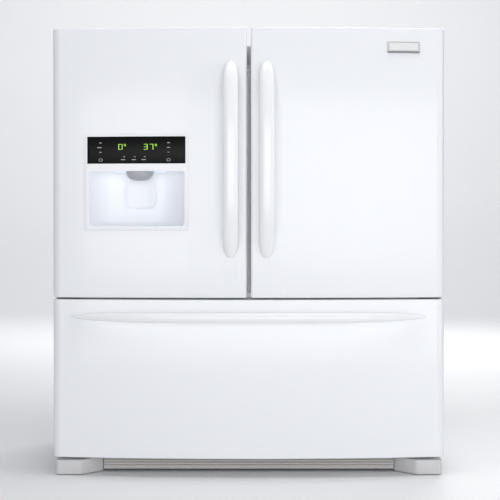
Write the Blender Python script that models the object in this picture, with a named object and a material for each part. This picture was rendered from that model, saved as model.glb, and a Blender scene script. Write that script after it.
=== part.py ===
"""French door refrigerator: a cabinet with two side-hinged upper doors over a pull-out freezer drawer.

Metres. +Z is up, -Y is the front, +X is to the right seen from the front. The origin is on the floor,
at the middle of the outline.
"""

import math

import bmesh
import bpy
from mathutils import Matrix, Vector

# Driving dimensions of the whole appliance.
WIDTH = 1.190
HEIGHT = 1.356
DEPTH = 0.870

# Slack between pieces that touch, and the sheet thicknesses.
GAP = 0.0004
STEEL = 0.0012
DOOR_STEEL = 0.0015
PLASTIC = 0.0025

# Depth planes, front to back.
HANDLE_FRONT_Y = -DEPTH / 2
HANDLE_STANDOFF = 0.060
CROWN_Y = HANDLE_FRONT_Y + HANDLE_STANDOFF
BOW = 0.040
DOOR_BACK_Y = CROWN_Y + 0.110
CABINET_FRONT_Y = DOOR_BACK_Y + 0.015
REAR_Y = DEPTH / 2
BACK_PANEL_Y = REAR_Y - 0.010

# Height planes, floor to top.
DRAWER_BOTTOM = 0.058
DRAWER_TOP = 0.536
DOOR_BOTTOM = 0.544
DOOR_TOP = HEIGHT
CABINET_BOTTOM = 0.044
BASE_TOP = 0.060
CABINET_TOP = HEIGHT - 0.038

# Plan dimensions across the width.
DOOR_HALF = WIDTH / 2
CENTRE_GAP = 0.012
CABINET_HALF = DOOR_HALF - 0.005
CAVITY_HALF = 0.533
OUTER_CORNER = 0.028
INNER_CORNER = 0.007

# The two cold spaces inside the liners.
FRIDGE_FLOOR = 0.578
FRIDGE_CEILING = 1.258
FRIDGE_BACK_Y = 0.363
FREEZER_FLOOR = 0.115
FREEZER_CEILING = 0.497
FREEZER_STEP_Z = 0.302
FREEZER_LOW_BACK_Y = 0.188
MACHINE_FRONT_Y = 0.235
MACHINE_TOP = 0.287

# The door hinge pins, and the dykes moulded on the inside of each door.
HINGE_X = 0.575
HINGE_Y = DOOR_BACK_Y - 0.020
PIN_RADIUS = 0.005
HINGE_PLATE = 0.003
DYKE_BACK_Y = DOOR_BACK_Y + 0.030
DYKE_OUTER_X = 0.520
DYKE_INNER_X = 0.072
DYKE_WALL = 0.008
DYKE_BOTTOM = 0.604
DYKE_TOP = 1.232

# The water and ice dispenser in the left door.
DISPENSER_LEFT = -0.490
DISPENSER_RIGHT = -0.187
DISPENSER_BOTTOM = 0.7515
DISPENSER_TOP = 1.031
PANEL_BOTTOM = 0.9465
RECESS_TOP = 0.9245
NOZZLE_X = -0.332
RECESS_BACK_Y = -0.240

# Handles.
HANDLE_X = 0.054
HANDLE_BOTTOM = 0.663
HANDLE_TOP = 1.253
HANDLE_WIDTH = 0.046
HANDLE_THICKNESS = 0.026
DRAWER_HANDLE_HALF = 0.537
DRAWER_HANDLE_Z = 0.486
DRAWER_HANDLE_HEIGHT = 0.030

PAINT = ("white_enamel", (0.90, 0.90, 0.91), 0.25, 0.0)
TRIM = ("white_moulding", (0.88, 0.88, 0.90), 0.35, 0.0)
LINER = ("liner_plastic", (0.86, 0.87, 0.88), 0.40, 0.0)
CLEAR = ("clear_plastic", (0.80, 0.86, 0.90), 0.15, 0.0)
GLASS = ("shelf_glass", (0.75, 0.84, 0.84), 0.08, 0.0)
RUBBER = ("gasket_rubber", (0.72, 0.73, 0.75), 0.65, 0.0)
DARK_RUBBER = ("black_rubber", (0.05, 0.05, 0.05), 0.70, 0.0)
STEEL_PLATE = ("zinc_steel", (0.60, 0.61, 0.62), 0.35, 1.0)
GREY_TRIM = ("grey_moulding", (0.62, 0.60, 0.59), 0.50, 0.0)
LEG_TRIM = ("pale_grey_moulding", (0.72, 0.71, 0.72), 0.50, 0.0)
BLACK_GLASS = ("black_panel", (0.01, 0.01, 0.01), 0.08, 0.0)
BADGE_METAL = ("badge_silver", (0.70, 0.70, 0.71), 0.30, 1.0)
COMPRESSOR_BLACK = ("black_enamel", (0.03, 0.03, 0.03), 0.40, 0.0)
FOAM = ("insulation_foam", (0.85, 0.78, 0.55), 0.95, 0.0)
ALUMINIUM = ("finned_aluminium", (0.70, 0.71, 0.72), 0.40, 1.0)
WIRE = ("coated_wire", (0.88, 0.89, 0.90), 0.40, 0.0)


def clear_scene():
    for old in list(bpy.data.objects):
        bpy.data.objects.remove(old, do_unlink=True)


def material(spec):
    name, colour, roughness, metallic = spec
    found = bpy.data.materials.get(name)
    if found:
        return found
    made = bpy.data.materials.new(name)
    made.use_nodes = True
    shader = made.node_tree.nodes["Principled BSDF"]
    shader.inputs["Base Color"].default_value = (*colour, 1.0)
    shader.inputs["Roughness"].default_value = roughness
    shader.inputs["Metallic"].default_value = metallic
    return made


def object_from(name, bm, spec=None, smooth=False):
    """A mesh object from bm. With no material it is a cutter or a joined-in shape, and stays hidden."""
    bmesh.ops.recalc_face_normals(bm, faces=bm.faces)
    mesh = bpy.data.meshes.new(name)
    bm.to_mesh(mesh)
    bm.free()
    made = bpy.data.objects.new(name, mesh)
    bpy.context.scene.collection.objects.link(made)
    if spec is None:
        made.hide_render = True
        made.display_type = "WIRE"
    else:
        mesh.materials.append(material(spec))
    if smooth:
        mesh.shade_smooth()
        mesh.set_sharp_from_angle(angle=math.radians(35))
    return made


def block(name, low, high, spec=None):
    """A box between two corners, with its origin at its middle."""
    bm = bmesh.new()
    bmesh.ops.create_cube(bm, size=1.0)
    size = Vector(high) - Vector(low)
    bmesh.ops.scale(bm, vec=size, verts=bm.verts)
    made = object_from(name, bm, spec)
    made.location = (Vector(low) + Vector(high)) / 2
    return made


def prism(name, outline, start, end, spec=None, smooth=False):
    """A closed outline of 3-D points at start, extruded to end, both offsets from the outline."""
    bm = bmesh.new()
    ring = [bm.verts.new(Vector(p) + Vector(start)) for p in outline]
    face = bm.faces.new(ring)
    made = bmesh.ops.extrude_face_region(bm, geom=[face])
    moved = [v for v in made["geom"] if isinstance(v, bmesh.types.BMVert)]
    bmesh.ops.translate(bm, vec=Vector(end) - Vector(start), verts=moved)
    return object_from(name, bm, spec, smooth)


def upright(name, plan, bottom, top, spec=None, smooth=False):
    """A plan outline of (x, y) points raised from bottom to top."""
    return prism(name, [(x, y, 0) for x, y in plan], (0, 0, bottom), (0, 0, top), spec, smooth)


def disc(name, centre, axis, radius, half_length, sides, spec=None):
    """A round bar centred on a point, along X, Y or Z."""
    bm = bmesh.new()
    bmesh.ops.create_cone(
        bm, cap_ends=True, segments=sides, radius1=radius, radius2=radius, depth=2 * half_length
    )
    made = object_from(name, bm, spec, smooth=True)
    if axis == "X":
        made.rotation_euler = (0, math.pi / 2, 0)
    elif axis == "Y":
        made.rotation_euler = (math.pi / 2, 0, 0)
    made.location = centre
    return made


def turned(name, profile, centre, sides, spec=None):
    """A profile of (radius, height) points, from axis to axis, spun round the vertical through centre."""
    bm = bmesh.new()
    points = [bm.verts.new((r, 0, z)) for r, z in profile]
    edges = [bm.edges.new(pair) for pair in zip(points, points[1:])]
    bmesh.ops.spin(
        bm,
        geom=points + edges,
        cent=(0, 0, 0),
        axis=(0, 0, 1),
        angle=2 * math.pi,
        steps=sides,
        use_merge=True,
    )
    bmesh.ops.remove_doubles(bm, verts=bm.verts, dist=1e-5)
    made = object_from(name, bm, spec, smooth=True)
    made.location = centre
    return made


def boolean(target, other, operation):
    step = target.modifiers.new(operation.lower() + "_" + other.name, "BOOLEAN")
    step.object = other
    step.operation = operation
    step.solver = "EXACT"
    other.hide_render = True
    other.display_type = "WIRE"


def cut(target, *cutters):
    for cutter in cutters:
        boolean(target, cutter, "DIFFERENCE")


def fuse(target, *others):
    for other in others:
        boolean(target, other, "UNION")


def open_box(name, low, high, wall, spec, open_side="+Z"):
    """A thin-walled box with one side open."""
    made = block(name, low, high, spec)
    inner_low = Vector(low) + Vector((wall, wall, wall))
    inner_high = Vector(high) - Vector((wall, wall, wall))
    axis = "XYZ".index(open_side[1])
    if open_side[0] == "+":
        inner_high[axis] = high[axis] + wall
    else:
        inner_low[axis] = low[axis] - wall
    cut(made, block(name + "_hollow", inner_low, inner_high))
    return made


def ring_frame(name, low, high, border, spec):
    """A rectangular frame in the XZ plane, border wide."""
    made = block(name, low, high, spec)
    inset = Vector((border, -0.05, border))
    cut(made, block(name + "_window", Vector(low) + inset, Vector(high) - inset))
    return made


# ---------------------------------------------------------------- the bowed front


def front_y(x):
    """The bowed front of the doors and the drawer: an arc over the whole width, crowned in the middle."""
    radius = (DOOR_HALF**2 + BOW**2) / (2 * BOW)
    return CROWN_Y + radius - math.sqrt(radius**2 - x**2)


def front_points(left, right, offset, steps):
    """Points along the bowed front between two x values, moved back by offset."""
    xs = [left + (right - left) * i / steps for i in range(steps + 1)]
    return [(x, front_y(x) + offset) for x in xs]


def corner(x_side, y_front, radius, toward, steps=5):
    """A quarter round from the side face to the front face; toward is +1 if the panel lies to its right."""
    centre = (x_side + toward * radius, y_front + radius)
    turns = [math.pi / 2 * i / steps for i in range(steps + 1)]
    return [(centre[0] - toward * radius * math.cos(a), centre[1] - radius * math.sin(a)) for a in turns]


def panel_plan(left, right, left_corner, right_corner, inset, back_y, steps=14):
    """The plan of a bowed panel: back edge, rounded side, bowed front, rounded side."""
    left, right = left + inset, right - inset
    left_corner, right_corner = left_corner - inset, right_corner - inset
    left_front = front_y(left + left_corner) + inset
    right_front = front_y(right - right_corner) + inset
    front = front_points(left + left_corner, right - right_corner, inset, steps)[1:-1]
    return (
        [(left, back_y)]
        + corner(left, left_front, left_corner, 1)
        + front
        + list(reversed(corner(right, right_front, right_corner, -1)))
        + [(right, back_y)]
    )


def bowed_slab(name, left, right, bottom, top, front_offset, back_offset, spec=None, steps=8):
    """A plate that follows the bowed front between two offsets behind it."""
    near = front_points(left, right, front_offset, steps)
    far = front_points(left, right, back_offset, steps)
    return upright(name, near + list(reversed(far)), bottom, top, spec, smooth=True)


# ---------------------------------------------------------------- cabinet


def cabinet_wrapper():
    """One folded steel sheet: two sides and the top, with front flanges and the rail between the openings."""
    shell = block(
        "cabinet_wrapper",
        (-CABINET_HALF, CABINET_FRONT_Y, CABINET_BOTTOM),
        (CABINET_HALF, BACK_PANEL_Y - 0.001 - GAP, CABINET_TOP),
        PAINT,
    )
    inner = block(
        "wrapper_inside",
        (-CABINET_HALF + STEEL, CABINET_FRONT_Y + STEEL, -0.1),
        (CABINET_HALF - STEEL, REAR_Y + 0.1, CABINET_TOP - STEEL),
    )
    fridge = block(
        "fridge_window",
        (-CAVITY_HALF, CABINET_FRONT_Y - 0.1, FRIDGE_FLOOR),
        (CAVITY_HALF, CABINET_FRONT_Y + 0.1, FRIDGE_CEILING),
    )
    freezer = block(
        "freezer_window",
        (-CAVITY_HALF, CABINET_FRONT_Y - 0.1, -0.2),
        (CAVITY_HALF, CABINET_FRONT_Y + 0.1, FREEZER_CEILING),
    )
    cut(shell, inner, fridge, freezer)


def cabinet_back():
    block(
        "cabinet_back",
        (-CABINET_HALF, BACK_PANEL_Y - 0.001, MACHINE_TOP + 0.001),
        (CABINET_HALF, BACK_PANEL_Y, CABINET_TOP),
        STEEL_PLATE,
    )


def fridge_space(name, grow, spec=None):
    front = CABINET_FRONT_Y + STEEL + GAP
    return block(
        name,
        (-CAVITY_HALF - grow, front, FRIDGE_FLOOR - grow),
        (CAVITY_HALF + grow, FRIDGE_BACK_Y + grow, FRIDGE_CEILING + grow),
        spec,
    )


def freezer_space(name, grow, spec=None):
    """The freezer space is stepped, to leave room behind its lower half for the compressor."""
    front = CABINET_FRONT_Y + STEEL + GAP
    side = [
        (front, FREEZER_FLOOR - grow),
        (FREEZER_LOW_BACK_Y + grow, FREEZER_FLOOR - grow),
        (FREEZER_LOW_BACK_Y + grow, FREEZER_STEP_Z - grow),
        (FRIDGE_BACK_Y + grow, FREEZER_STEP_Z - grow),
        (FRIDGE_BACK_Y + grow, FREEZER_CEILING + grow),
        (front, FREEZER_CEILING + grow),
    ]
    half = CAVITY_HALF + grow
    return prism(name, [(0, y, z) for y, z in side], (-half, 0, 0), (half, 0, 0), spec)


def liners():
    liner = fridge_space("fridge_liner", 0.002, LINER)
    hollow = block(
        "fridge_hollow",
        (-CAVITY_HALF, CABINET_FRONT_Y - 0.1, FRIDGE_FLOOR),
        (CAVITY_HALF, FRIDGE_BACK_Y, FRIDGE_CEILING),
    )
    cut(liner, hollow)
    liner = freezer_space("freezer_liner", 0.002, LINER)
    low = block(
        "freezer_low_hollow",
        (-CAVITY_HALF, CABINET_FRONT_Y - 0.1, FREEZER_FLOOR),
        (CAVITY_HALF, FREEZER_LOW_BACK_Y, FREEZER_CEILING),
    )
    high = block(
        "freezer_high_hollow",
        (-CAVITY_HALF, CABINET_FRONT_Y - 0.1, FREEZER_STEP_Z),
        (CAVITY_HALF, FRIDGE_BACK_Y, FREEZER_CEILING),
    )
    cut(liner, low, high)
    for side in (-1, 1):
        inner, outer = sorted((side * 0.507, side * (CAVITY_HALF + 0.001)))
        fuse(liner, block(f"basket_ledge_{side}", (inner, -0.200, 0.320), (outer, 0.255, 0.331)))


def cabinet_foam():
    """Insulation between the wrapper and the liners, foamed in place; it ends over the machine space."""
    foam = block(
        "cabinet_foam",
        (-CABINET_HALF + STEEL + GAP, CABINET_FRONT_Y + STEEL + GAP, BASE_TOP + GAP),
        (CABINET_HALF - STEEL - GAP, BACK_PANEL_Y - 0.001 - GAP, CABINET_TOP - STEEL - GAP),
        FOAM,
    )
    machine = block("machine_space", (-0.7, MACHINE_FRONT_Y, -0.1), (0.7, 0.6, MACHINE_TOP))
    fridge = fridge_space("fridge_core", 0.002 + GAP)
    fridge_mouth = block(
        "fridge_core_mouth",
        (-CAVITY_HALF - 0.0024, CABINET_FRONT_Y - 0.1, FRIDGE_FLOOR - 0.0024),
        (CAVITY_HALF + 0.0024, 0.0, FRIDGE_CEILING + 0.0024),
    )
    freezer = freezer_space("freezer_core", 0.002 + GAP)
    freezer_mouth = block(
        "freezer_core_mouth",
        (-CAVITY_HALF - 0.0024, CABINET_FRONT_Y - 0.1, FREEZER_FLOOR - 0.0024),
        (CAVITY_HALF + 0.0024, 0.0, FREEZER_CEILING + 0.0024),
    )
    cut(foam, machine, fridge, fridge_mouth, freezer, freezer_mouth)


# ---------------------------------------------------------------- base, rollers and legs

ROLLER_X = 0.470
ROLLER_Y = 0.330
ROLLER_RADIUS = 0.021
ROLLER_HALF_WIDTH = 0.010
AXLE_RADIUS = 0.004
LEG_X = 0.500
LEG_Y = -0.195
LEG_STEM_RADIUS = 0.005
FOOT_RADIUS = 0.018


def base_frame():
    """A pressed steel tray closing the bottom, with ears for the rear rollers and nuts for the legs."""
    half = CABINET_HALF - STEEL - GAP
    low = (-half, CABINET_FRONT_Y + 0.012, CABINET_BOTTOM)
    high = (half, BACK_PANEL_Y - 0.003, BASE_TOP)
    tray = open_box("base_frame", low, high, 0.002, STEEL_PLATE, "-Z")
    for side in (-1, 1):
        for edge in (-1, 1):
            x = side * ROLLER_X + edge * (ROLLER_HALF_WIDTH + 0.003)
            ear = block(
                f"roller_ear_{side}_{edge}",
                (x - 0.002, ROLLER_Y - 0.012, 0.012),
                (x + 0.002, ROLLER_Y + 0.012, BASE_TOP - 0.001),
            )
            fuse(tray, ear)
        nut = block(
            f"leg_nut_{side}",
            (side * LEG_X - 0.012, LEG_Y - 0.012, 0.036),
            (side * LEG_X + 0.012, LEG_Y + 0.012, BASE_TOP - 0.001),
        )
        fuse(tray, nut)
        axle = disc(f"axle_hole_{side}", (side * ROLLER_X, ROLLER_Y, ROLLER_RADIUS), "X", 0.0046, 0.03, 16)
        stem = disc(f"stem_hole_{side}", (side * LEG_X, LEG_Y, 0.040), "Z", 0.0056, 0.016, 16)
        cut(tray, axle, stem)


def rollers_and_legs():
    for side, word in ((-1, "left"), (1, "right")):
        wheel = disc(
            f"rear_roller_{word}",
            (side * ROLLER_X, ROLLER_Y, ROLLER_RADIUS),
            "X",
            ROLLER_RADIUS,
            ROLLER_HALF_WIDTH,
            32,
            DARK_RUBBER,
        )
        axle = disc(f"axle_{word}", wheel.location, "X", AXLE_RADIUS, ROLLER_HALF_WIDTH + 0.006, 16)
        fuse(wheel, axle)
        profile = [
            (0, 0),
            (FOOT_RADIUS - 0.002, 0),
            (FOOT_RADIUS, 0.002),
            (FOOT_RADIUS, 0.006),
            (0.009, 0.010),
            (LEG_STEM_RADIUS, 0.010),
            (LEG_STEM_RADIUS, 0.052),
            (0, 0.052),
        ]
        turned(f"leveling_leg_{word}", profile, (side * LEG_X, LEG_Y, 0), 20, STEEL_PLATE)


def toe_trim():
    """The kick grille, and the covers in front of the legs that flare out to the cabinet's corners."""
    grille = block("toe_grille", (-0.4465, -0.262, 0.004), (0.4465, -0.254, 0.050), GREY_TRIM)
    for row in range(3):
        for column in range(6):
            x = -0.43 + column * 0.1445
            z = 0.013 + row * 0.012
            slot = block(f"vent_{row}_{column}", (x, -0.28, z), (x + 0.1375, -0.24, z + 0.005))
            cut(grille, slot)
    for side, word in ((-1, "left"), (1, "right")):
        plan = [(0.586, -0.254), (0.586, -0.316), (0.580, -0.322), (0.509, -0.322), (0.449, -0.256)]
        inner = [(0.583, -0.240), (0.583, -0.314), (0.579, -0.319), (0.5105, -0.319), (0.451, -0.240)]
        cover = upright(f"leg_cover_{word}", [(side * x, y) for x, y in plan], 0.002, 0.047, LEG_TRIM)
        hollow = upright(f"leg_cover_hollow_{word}", [(side * x, y) for x, y in inner], -0.02, 0.044)
        cut(cover, hollow)


# ---------------------------------------------------------------- cooling machinery


def fan(name, centre, axis, radius, blades, spec):
    """A moulded fan: a hub with pitched blades that reach into it."""
    hub = disc(name, centre, axis, radius * 0.32, 0.009, 20, spec)
    for i in range(blades):
        angle = 2 * math.pi * i / blades
        blade = block(f"{name}_blade_{i}", (radius * 0.2, -0.014, -0.001), (radius, 0.014, 0.001))
        blade.data.transform(turn_blade(angle, blade.location))
        blade.rotation_euler = hub.rotation_euler
        blade.location = centre
        fuse(hub, blade)
    return hub


def turn_blade(angle, middle):
    """Pitches a blade about its length, and swings it to its place round the hub."""
    pitch = Matrix.Rotation(math.radians(32), 4, "X")
    return Matrix.Rotation(angle, 4, "Z") @ Matrix.Translation(middle) @ pitch


def machinery():
    """Compressor, condenser and fan at the bottom rear; evaporator, fan and cover behind the freezer."""
    profile = [
        (0, 0),
        (0.060, 0),
        (0.072, 0.012),
        (0.075, 0.045),
        (0.075, 0.090),
        (0.070, 0.125),
        (0.050, 0.150),
        (0.020, 0.160),
        (0, 0.161),
    ]
    turned("compressor", profile, (0.330, 0.330, BASE_TOP + 0.006), 28, COMPRESSOR_BLACK)
    coil = block("condenser", (-0.250, 0.262, BASE_TOP + 0.004), (0.060, 0.400, 0.215), ALUMINIUM)
    for i in range(12):
        x = -0.232 + i * 0.0245
        cut(coil, block(f"condenser_gap_{i}", (x, 0.255, 0.085), (x + 0.012, 0.385, 0.225)))
    fan("condenser_fan", (0.140, 0.330, 0.145), "X", 0.062, 5, COMPRESSOR_BLACK)
    coil = block("evaporator", (-0.430, 0.318, 0.320), (0.430, 0.352, 0.480), ALUMINIUM)
    for i in range(16):
        x = -0.412 + i * 0.052
        cut(coil, block(f"evaporator_gap_{i}", (x, 0.300, 0.335), (x + 0.026, 0.345, 0.465)))
    fan("evaporator_fan", (0, 0.298, 0.400), "Y", 0.050, 5, TRIM)
    cover = block("evaporator_cover", (-0.529, 0.272, 0.306), (0.529, 0.277, 0.493), LINER)
    cut(cover, disc("fan_mouth", (0, 0.275, 0.400), "Y", 0.056, 0.03, 28))
    for side in (-1, 1):
        for row in range(4):
            low, high = sorted((side * 0.20, side * 0.46))
            z = 0.345 + row * 0.030
            cut(cover, block(f"return_vent_{side}_{row}", (low, 0.25, z), (high, 0.30, z + 0.009)))


def machine_cover():
    """The vented rear cover over the compressor, with the power inlet through it."""
    cover = block(
        "machine_cover",
        (-0.583, BACK_PANEL_Y - 0.001, 0.062),
        (0.583, BACK_PANEL_Y + 0.002, MACHINE_TOP - 0.001),
        GREY_TRIM,
    )
    for side in (-1, 1):
        for row in range(6):
            low, high = sorted((side * 0.06, side * 0.34))
            z = 0.095 + row * 0.026
            cut(cover, block(f"louvre_{side}_{row}", (low, 0.4, z), (high, 0.45, z + 0.010)))
    x, z = -0.450, 0.180
    cut(cover, block("inlet_hole", (x - 0.0155, 0.4, z - 0.0125), (x + 0.0155, 0.45, z + 0.0125)))
    inlet = block(
        "power_inlet",
        (x - 0.024, BACK_PANEL_Y + 0.002 + GAP, z - 0.017),
        (x + 0.024, REAR_Y, z + 0.017),
        COMPRESSOR_BLACK,
    )
    body = block("inlet_body", (x - 0.0150, 0.400, z - 0.0120), (x + 0.0150, 0.432, z + 0.0120))
    socket = block("inlet_socket", (x - 0.0120, 0.408, z - 0.0090), (x + 0.0120, 0.450, z + 0.0090))
    fuse(inlet, body)
    cut(inlet, socket)


# ---------------------------------------------------------------- hinges


def hinges():
    """Each door turns on a pin under a plate on the cabinet top and a pin on the middle rail."""
    for side, word in ((-1, "left"), (1, "right")):
        inner, outer = sorted((side * 0.535, side * 0.581))
        plate_z = CABINET_TOP + GAP
        plate_low = (inner, HINGE_Y - 0.012, plate_z)
        plate_high = (outer, -0.165, plate_z + HINGE_PLATE)
        top = block(f"top_hinge_{word}", plate_low, plate_high, STEEL_PLATE)
        pin = disc(
            f"top_pin_{word}", (side * HINGE_X, HINGE_Y, plate_z - 0.010), "Z", PIN_RADIUS, 0.012, 16
        )
        fuse(top, pin)
        low_z = (DRAWER_TOP + DOOR_BOTTOM) / 2 - HINGE_PLATE / 2
        inner, outer = sorted((side * 0.525, side * 0.588))
        front = CABINET_FRONT_Y - GAP
        arm_low = (inner, HINGE_Y - 0.012, low_z)
        arm = block(f"center_hinge_{word}", arm_low, (outer, front, low_z + HINGE_PLATE), STEEL_PLATE)
        tab = block(f"hinge_tab_{word}", (inner, front - 0.003, 0.5285), (outer, front, 0.5515))
        pin = disc(
            f"low_pin_{word}", (side * HINGE_X, HINGE_Y, low_z + 0.012), "Z", PIN_RADIUS, 0.0115, 16
        )
        fuse(arm, tab, pin)
        inner, outer = sorted((side * 0.520, side * 0.590))
        cap_low = (inner, CABINET_FRONT_Y + 0.002, CABINET_TOP + GAP)
        cap_high = (outer, -0.140, CABINET_TOP + 0.030)
        cap = block(f"hinge_cover_{word}", cap_low, cap_high, TRIM)
        bevel = cap.modifiers.new("soft_edges", "BEVEL")
        bevel.width = 0.006
        bevel.segments = 2
        hollow = block(
            f"hinge_cover_hollow_{word}",
            (inner + 0.0015, CABINET_FRONT_Y - 0.02, CABINET_TOP - 0.01),
            (outer - 0.0015, -0.143, CABINET_TOP + 0.020),
        )
        cut(cap, hollow)


# ---------------------------------------------------------------- doors and drawer


def pan(name, left, right, left_corner, right_corner, bottom, top, spec):
    """A bowed door skin: a steel pan open at the back. Returns the skin and the cutter that hollows it."""
    outer = panel_plan(left, right, left_corner, right_corner, 0, DOOR_BACK_Y)
    inner = panel_plan(left, right, left_corner, right_corner, DOOR_STEEL, DOOR_BACK_Y + 0.05)
    skin = upright(name, outer, bottom, top, spec, smooth=True)
    hollow = upright(name + "_hollow", inner, bottom + DOOR_STEEL, top - DOOR_STEEL)
    return skin, hollow


def hinge_pocket(name, side, grow):
    """The notch in a door's top rear corner that clears the top hinge plate."""
    inner, outer = sorted((side * (0.522 - grow), side * 0.70))
    return block(name, (inner, HINGE_Y - 0.020 - grow, CABINET_TOP - 0.006 - grow), (outer, 0.0, 1.5))


def door_skins():
    for side, word in ((-1, "left"), (1, "right")):
        ends = sorted((side * DOOR_HALF, side * CENTRE_GAP / 2))
        corners = (OUTER_CORNER, INNER_CORNER) if side < 0 else (INNER_CORNER, OUTER_CORNER)
        skin, hollow = pan(f"{word}_door_skin", *ends, *corners, DOOR_BOTTOM, DOOR_TOP, PAINT)
        cut(hollow, hinge_pocket(f"{word}_pocket_wall", side, DOOR_STEEL))
        holes = [
            disc(f"{word}_top_bush", (side * HINGE_X, HINGE_Y, CABINET_TOP - 0.006), "Z", 0.0065, 0.01, 16),
            disc(f"{word}_low_bush", (side * HINGE_X, HINGE_Y, DOOR_BOTTOM), "Z", 0.0065, 0.01, 16),
        ]
        cut(skin, hollow, hinge_pocket(f"{word}_pocket", side, 0), *holes)
        if side < 0:
            cut(
                skin,
                block(
                    "dispenser_hole",
                    (DISPENSER_LEFT, -0.6, DISPENSER_BOTTOM),
                    (DISPENSER_RIGHT, -0.27, DISPENSER_TOP),
                ),
            )


def door_liner(word, side):
    """The moulded inner face of a door: a back plate and the dyke that holds the bins."""
    sheet = DOOR_STEEL + GAP
    ends = sorted((side * (DOOR_HALF - sheet), side * (CENTRE_GAP / 2 + sheet)))
    plate_y = (DOOR_BACK_Y - PLASTIC, DOOR_BACK_Y)
    liner = block(
        f"{word}_door_liner",
        (ends[0], plate_y[0], DOOR_BOTTOM + sheet),
        (ends[1], plate_y[1], DOOR_TOP - sheet),
        LINER,
    )
    low_x, high_x = sorted((side * DYKE_OUTER_X, side * DYKE_INNER_X))
    dyke_low = (low_x, DOOR_BACK_Y - 0.001, DYKE_BOTTOM)
    dyke = block(f"{word}_dyke", dyke_low, (high_x, DYKE_BACK_Y, DYKE_TOP))
    cut(
        dyke,
        block(
            f"{word}_dyke_hollow",
            (low_x + DYKE_WALL, DOOR_BACK_Y, DYKE_BOTTOM + DYKE_WALL),
            (high_x - DYKE_WALL, 0.0, DYKE_TOP - DYKE_WALL),
        ),
    )
    fuse(liner, dyke)
    cut(liner, hinge_pocket(f"{word}_liner_pocket", side, DOOR_STEEL + GAP))
    return liner


FLAP_BOTTOM = 0.600
FLAP_TOP = 1.236
FLAP_AXIS_X = -0.060
FLAP_AXIS_Y = CABINET_FRONT_Y + 0.007
FLAP_TIP_X = 0.0035


def flap_pivots(liner):
    """Two lugs on the left door's liner that hold the folding mullion's pivots."""
    for word, bottom in (("low", FLAP_BOTTOM - 0.0095), ("high", FLAP_TOP + 0.0005)):
        lug_high = (-0.053, FLAP_AXIS_Y + 0.006, bottom + 0.009)
        lug = block(f"flap_lug_{word}", (-0.074, DOOR_BACK_Y - 0.001, bottom), lug_high)
        middle = (FLAP_AXIS_X, FLAP_AXIS_Y, bottom + 0.0045)
        hole = disc(f"flap_hole_{word}", middle, "Z", 0.0031, 0.02, 12)
        fuse(liner, lug)
        cut(liner, hole)


def dispenser_bump(liner):
    """The left liner swells inwards behind the dispenser, to give a glass its depth."""
    low = (DISPENSER_LEFT - 0.0085, DOOR_BACK_Y - 0.002, DISPENSER_BOTTOM - 0.0085)
    high = (DISPENSER_RIGHT + 0.0085, RECESS_BACK_Y + 0.012, DISPENSER_TOP + 0.0085)
    pocket_low = (DISPENSER_LEFT - 0.004, -0.4, DISPENSER_BOTTOM - 0.004)
    pocket_high = (DISPENSER_RIGHT + 0.004, RECESS_BACK_Y + 0.0085, DISPENSER_TOP + 0.004)
    fuse(liner, block("dispenser_bump", low, high))
    cut(liner, block("dispenser_pocket", pocket_low, pocket_high))


def gasket(name, left, right, bottom, top, border, left_lip, right_lip):
    """A magnetic door seal: a soft rectangular ring between the door and the cabinet."""
    low = (left, DOOR_BACK_Y + GAP, bottom)
    high = (right, CABINET_FRONT_Y - GAP, top)
    ring = block(name, low, high, RUBBER)
    cut(
        ring,
        block(
            name + "_window",
            (left + border + left_lip, -0.5, bottom + border),
            (right - border - right_lip, 0.0, top - border),
        ),
    )
    return ring


def bowed_bar(name, spec, length_axis, middle, half, width, turns=14, stations=26):
    """A handle lofted along X or Z: a long arch off the front that tapers to rounded ends."""
    rings = []
    bm = bmesh.new()
    for i in range(stations + 1):
        t = -math.cos(math.pi * i / stations)
        along = t * half * 0.998
        arch = 1 - abs(t) ** 3.2
        taper = max(1 - abs(t) ** 14, 0.0) ** 0.5 * 0.94 + 0.06
        wide = width / 2 * taper * (1 if length_axis == "Z" else 0.55 + 0.45 * (1 - abs(t) ** 4))
        thick = HANDLE_THICKNESS / 2 * (0.35 + 0.65 * taper)
        ring = []
        for k in range(turns):
            a = 2 * math.pi * k / turns
            across = wide * math.cos(a)
            x = middle[0] + across if length_axis == "Z" else along
            surface = front_y(x) - GAP
            centre = front_y(middle[0] if length_axis == "Z" else along)
            lift = (HANDLE_STANDOFF - HANDLE_THICKNESS / 2) * arch + 0.004 * (1 - arch)
            y = min(centre - lift + thick * math.sin(a), surface)
            z = along + middle[1] if length_axis == "Z" else middle[1] + across
            ring.append(bm.verts.new((x, y, z)))
        rings.append(ring)
    for one, two in zip(rings, rings[1:]):
        for k in range(turns):
            bm.faces.new((one[k], one[(k + 1) % turns], two[(k + 1) % turns], two[k]))
    bm.faces.new(rings[0])
    bm.faces.new(rings[-1])
    return object_from(name, bm, spec, smooth=True)


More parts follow.
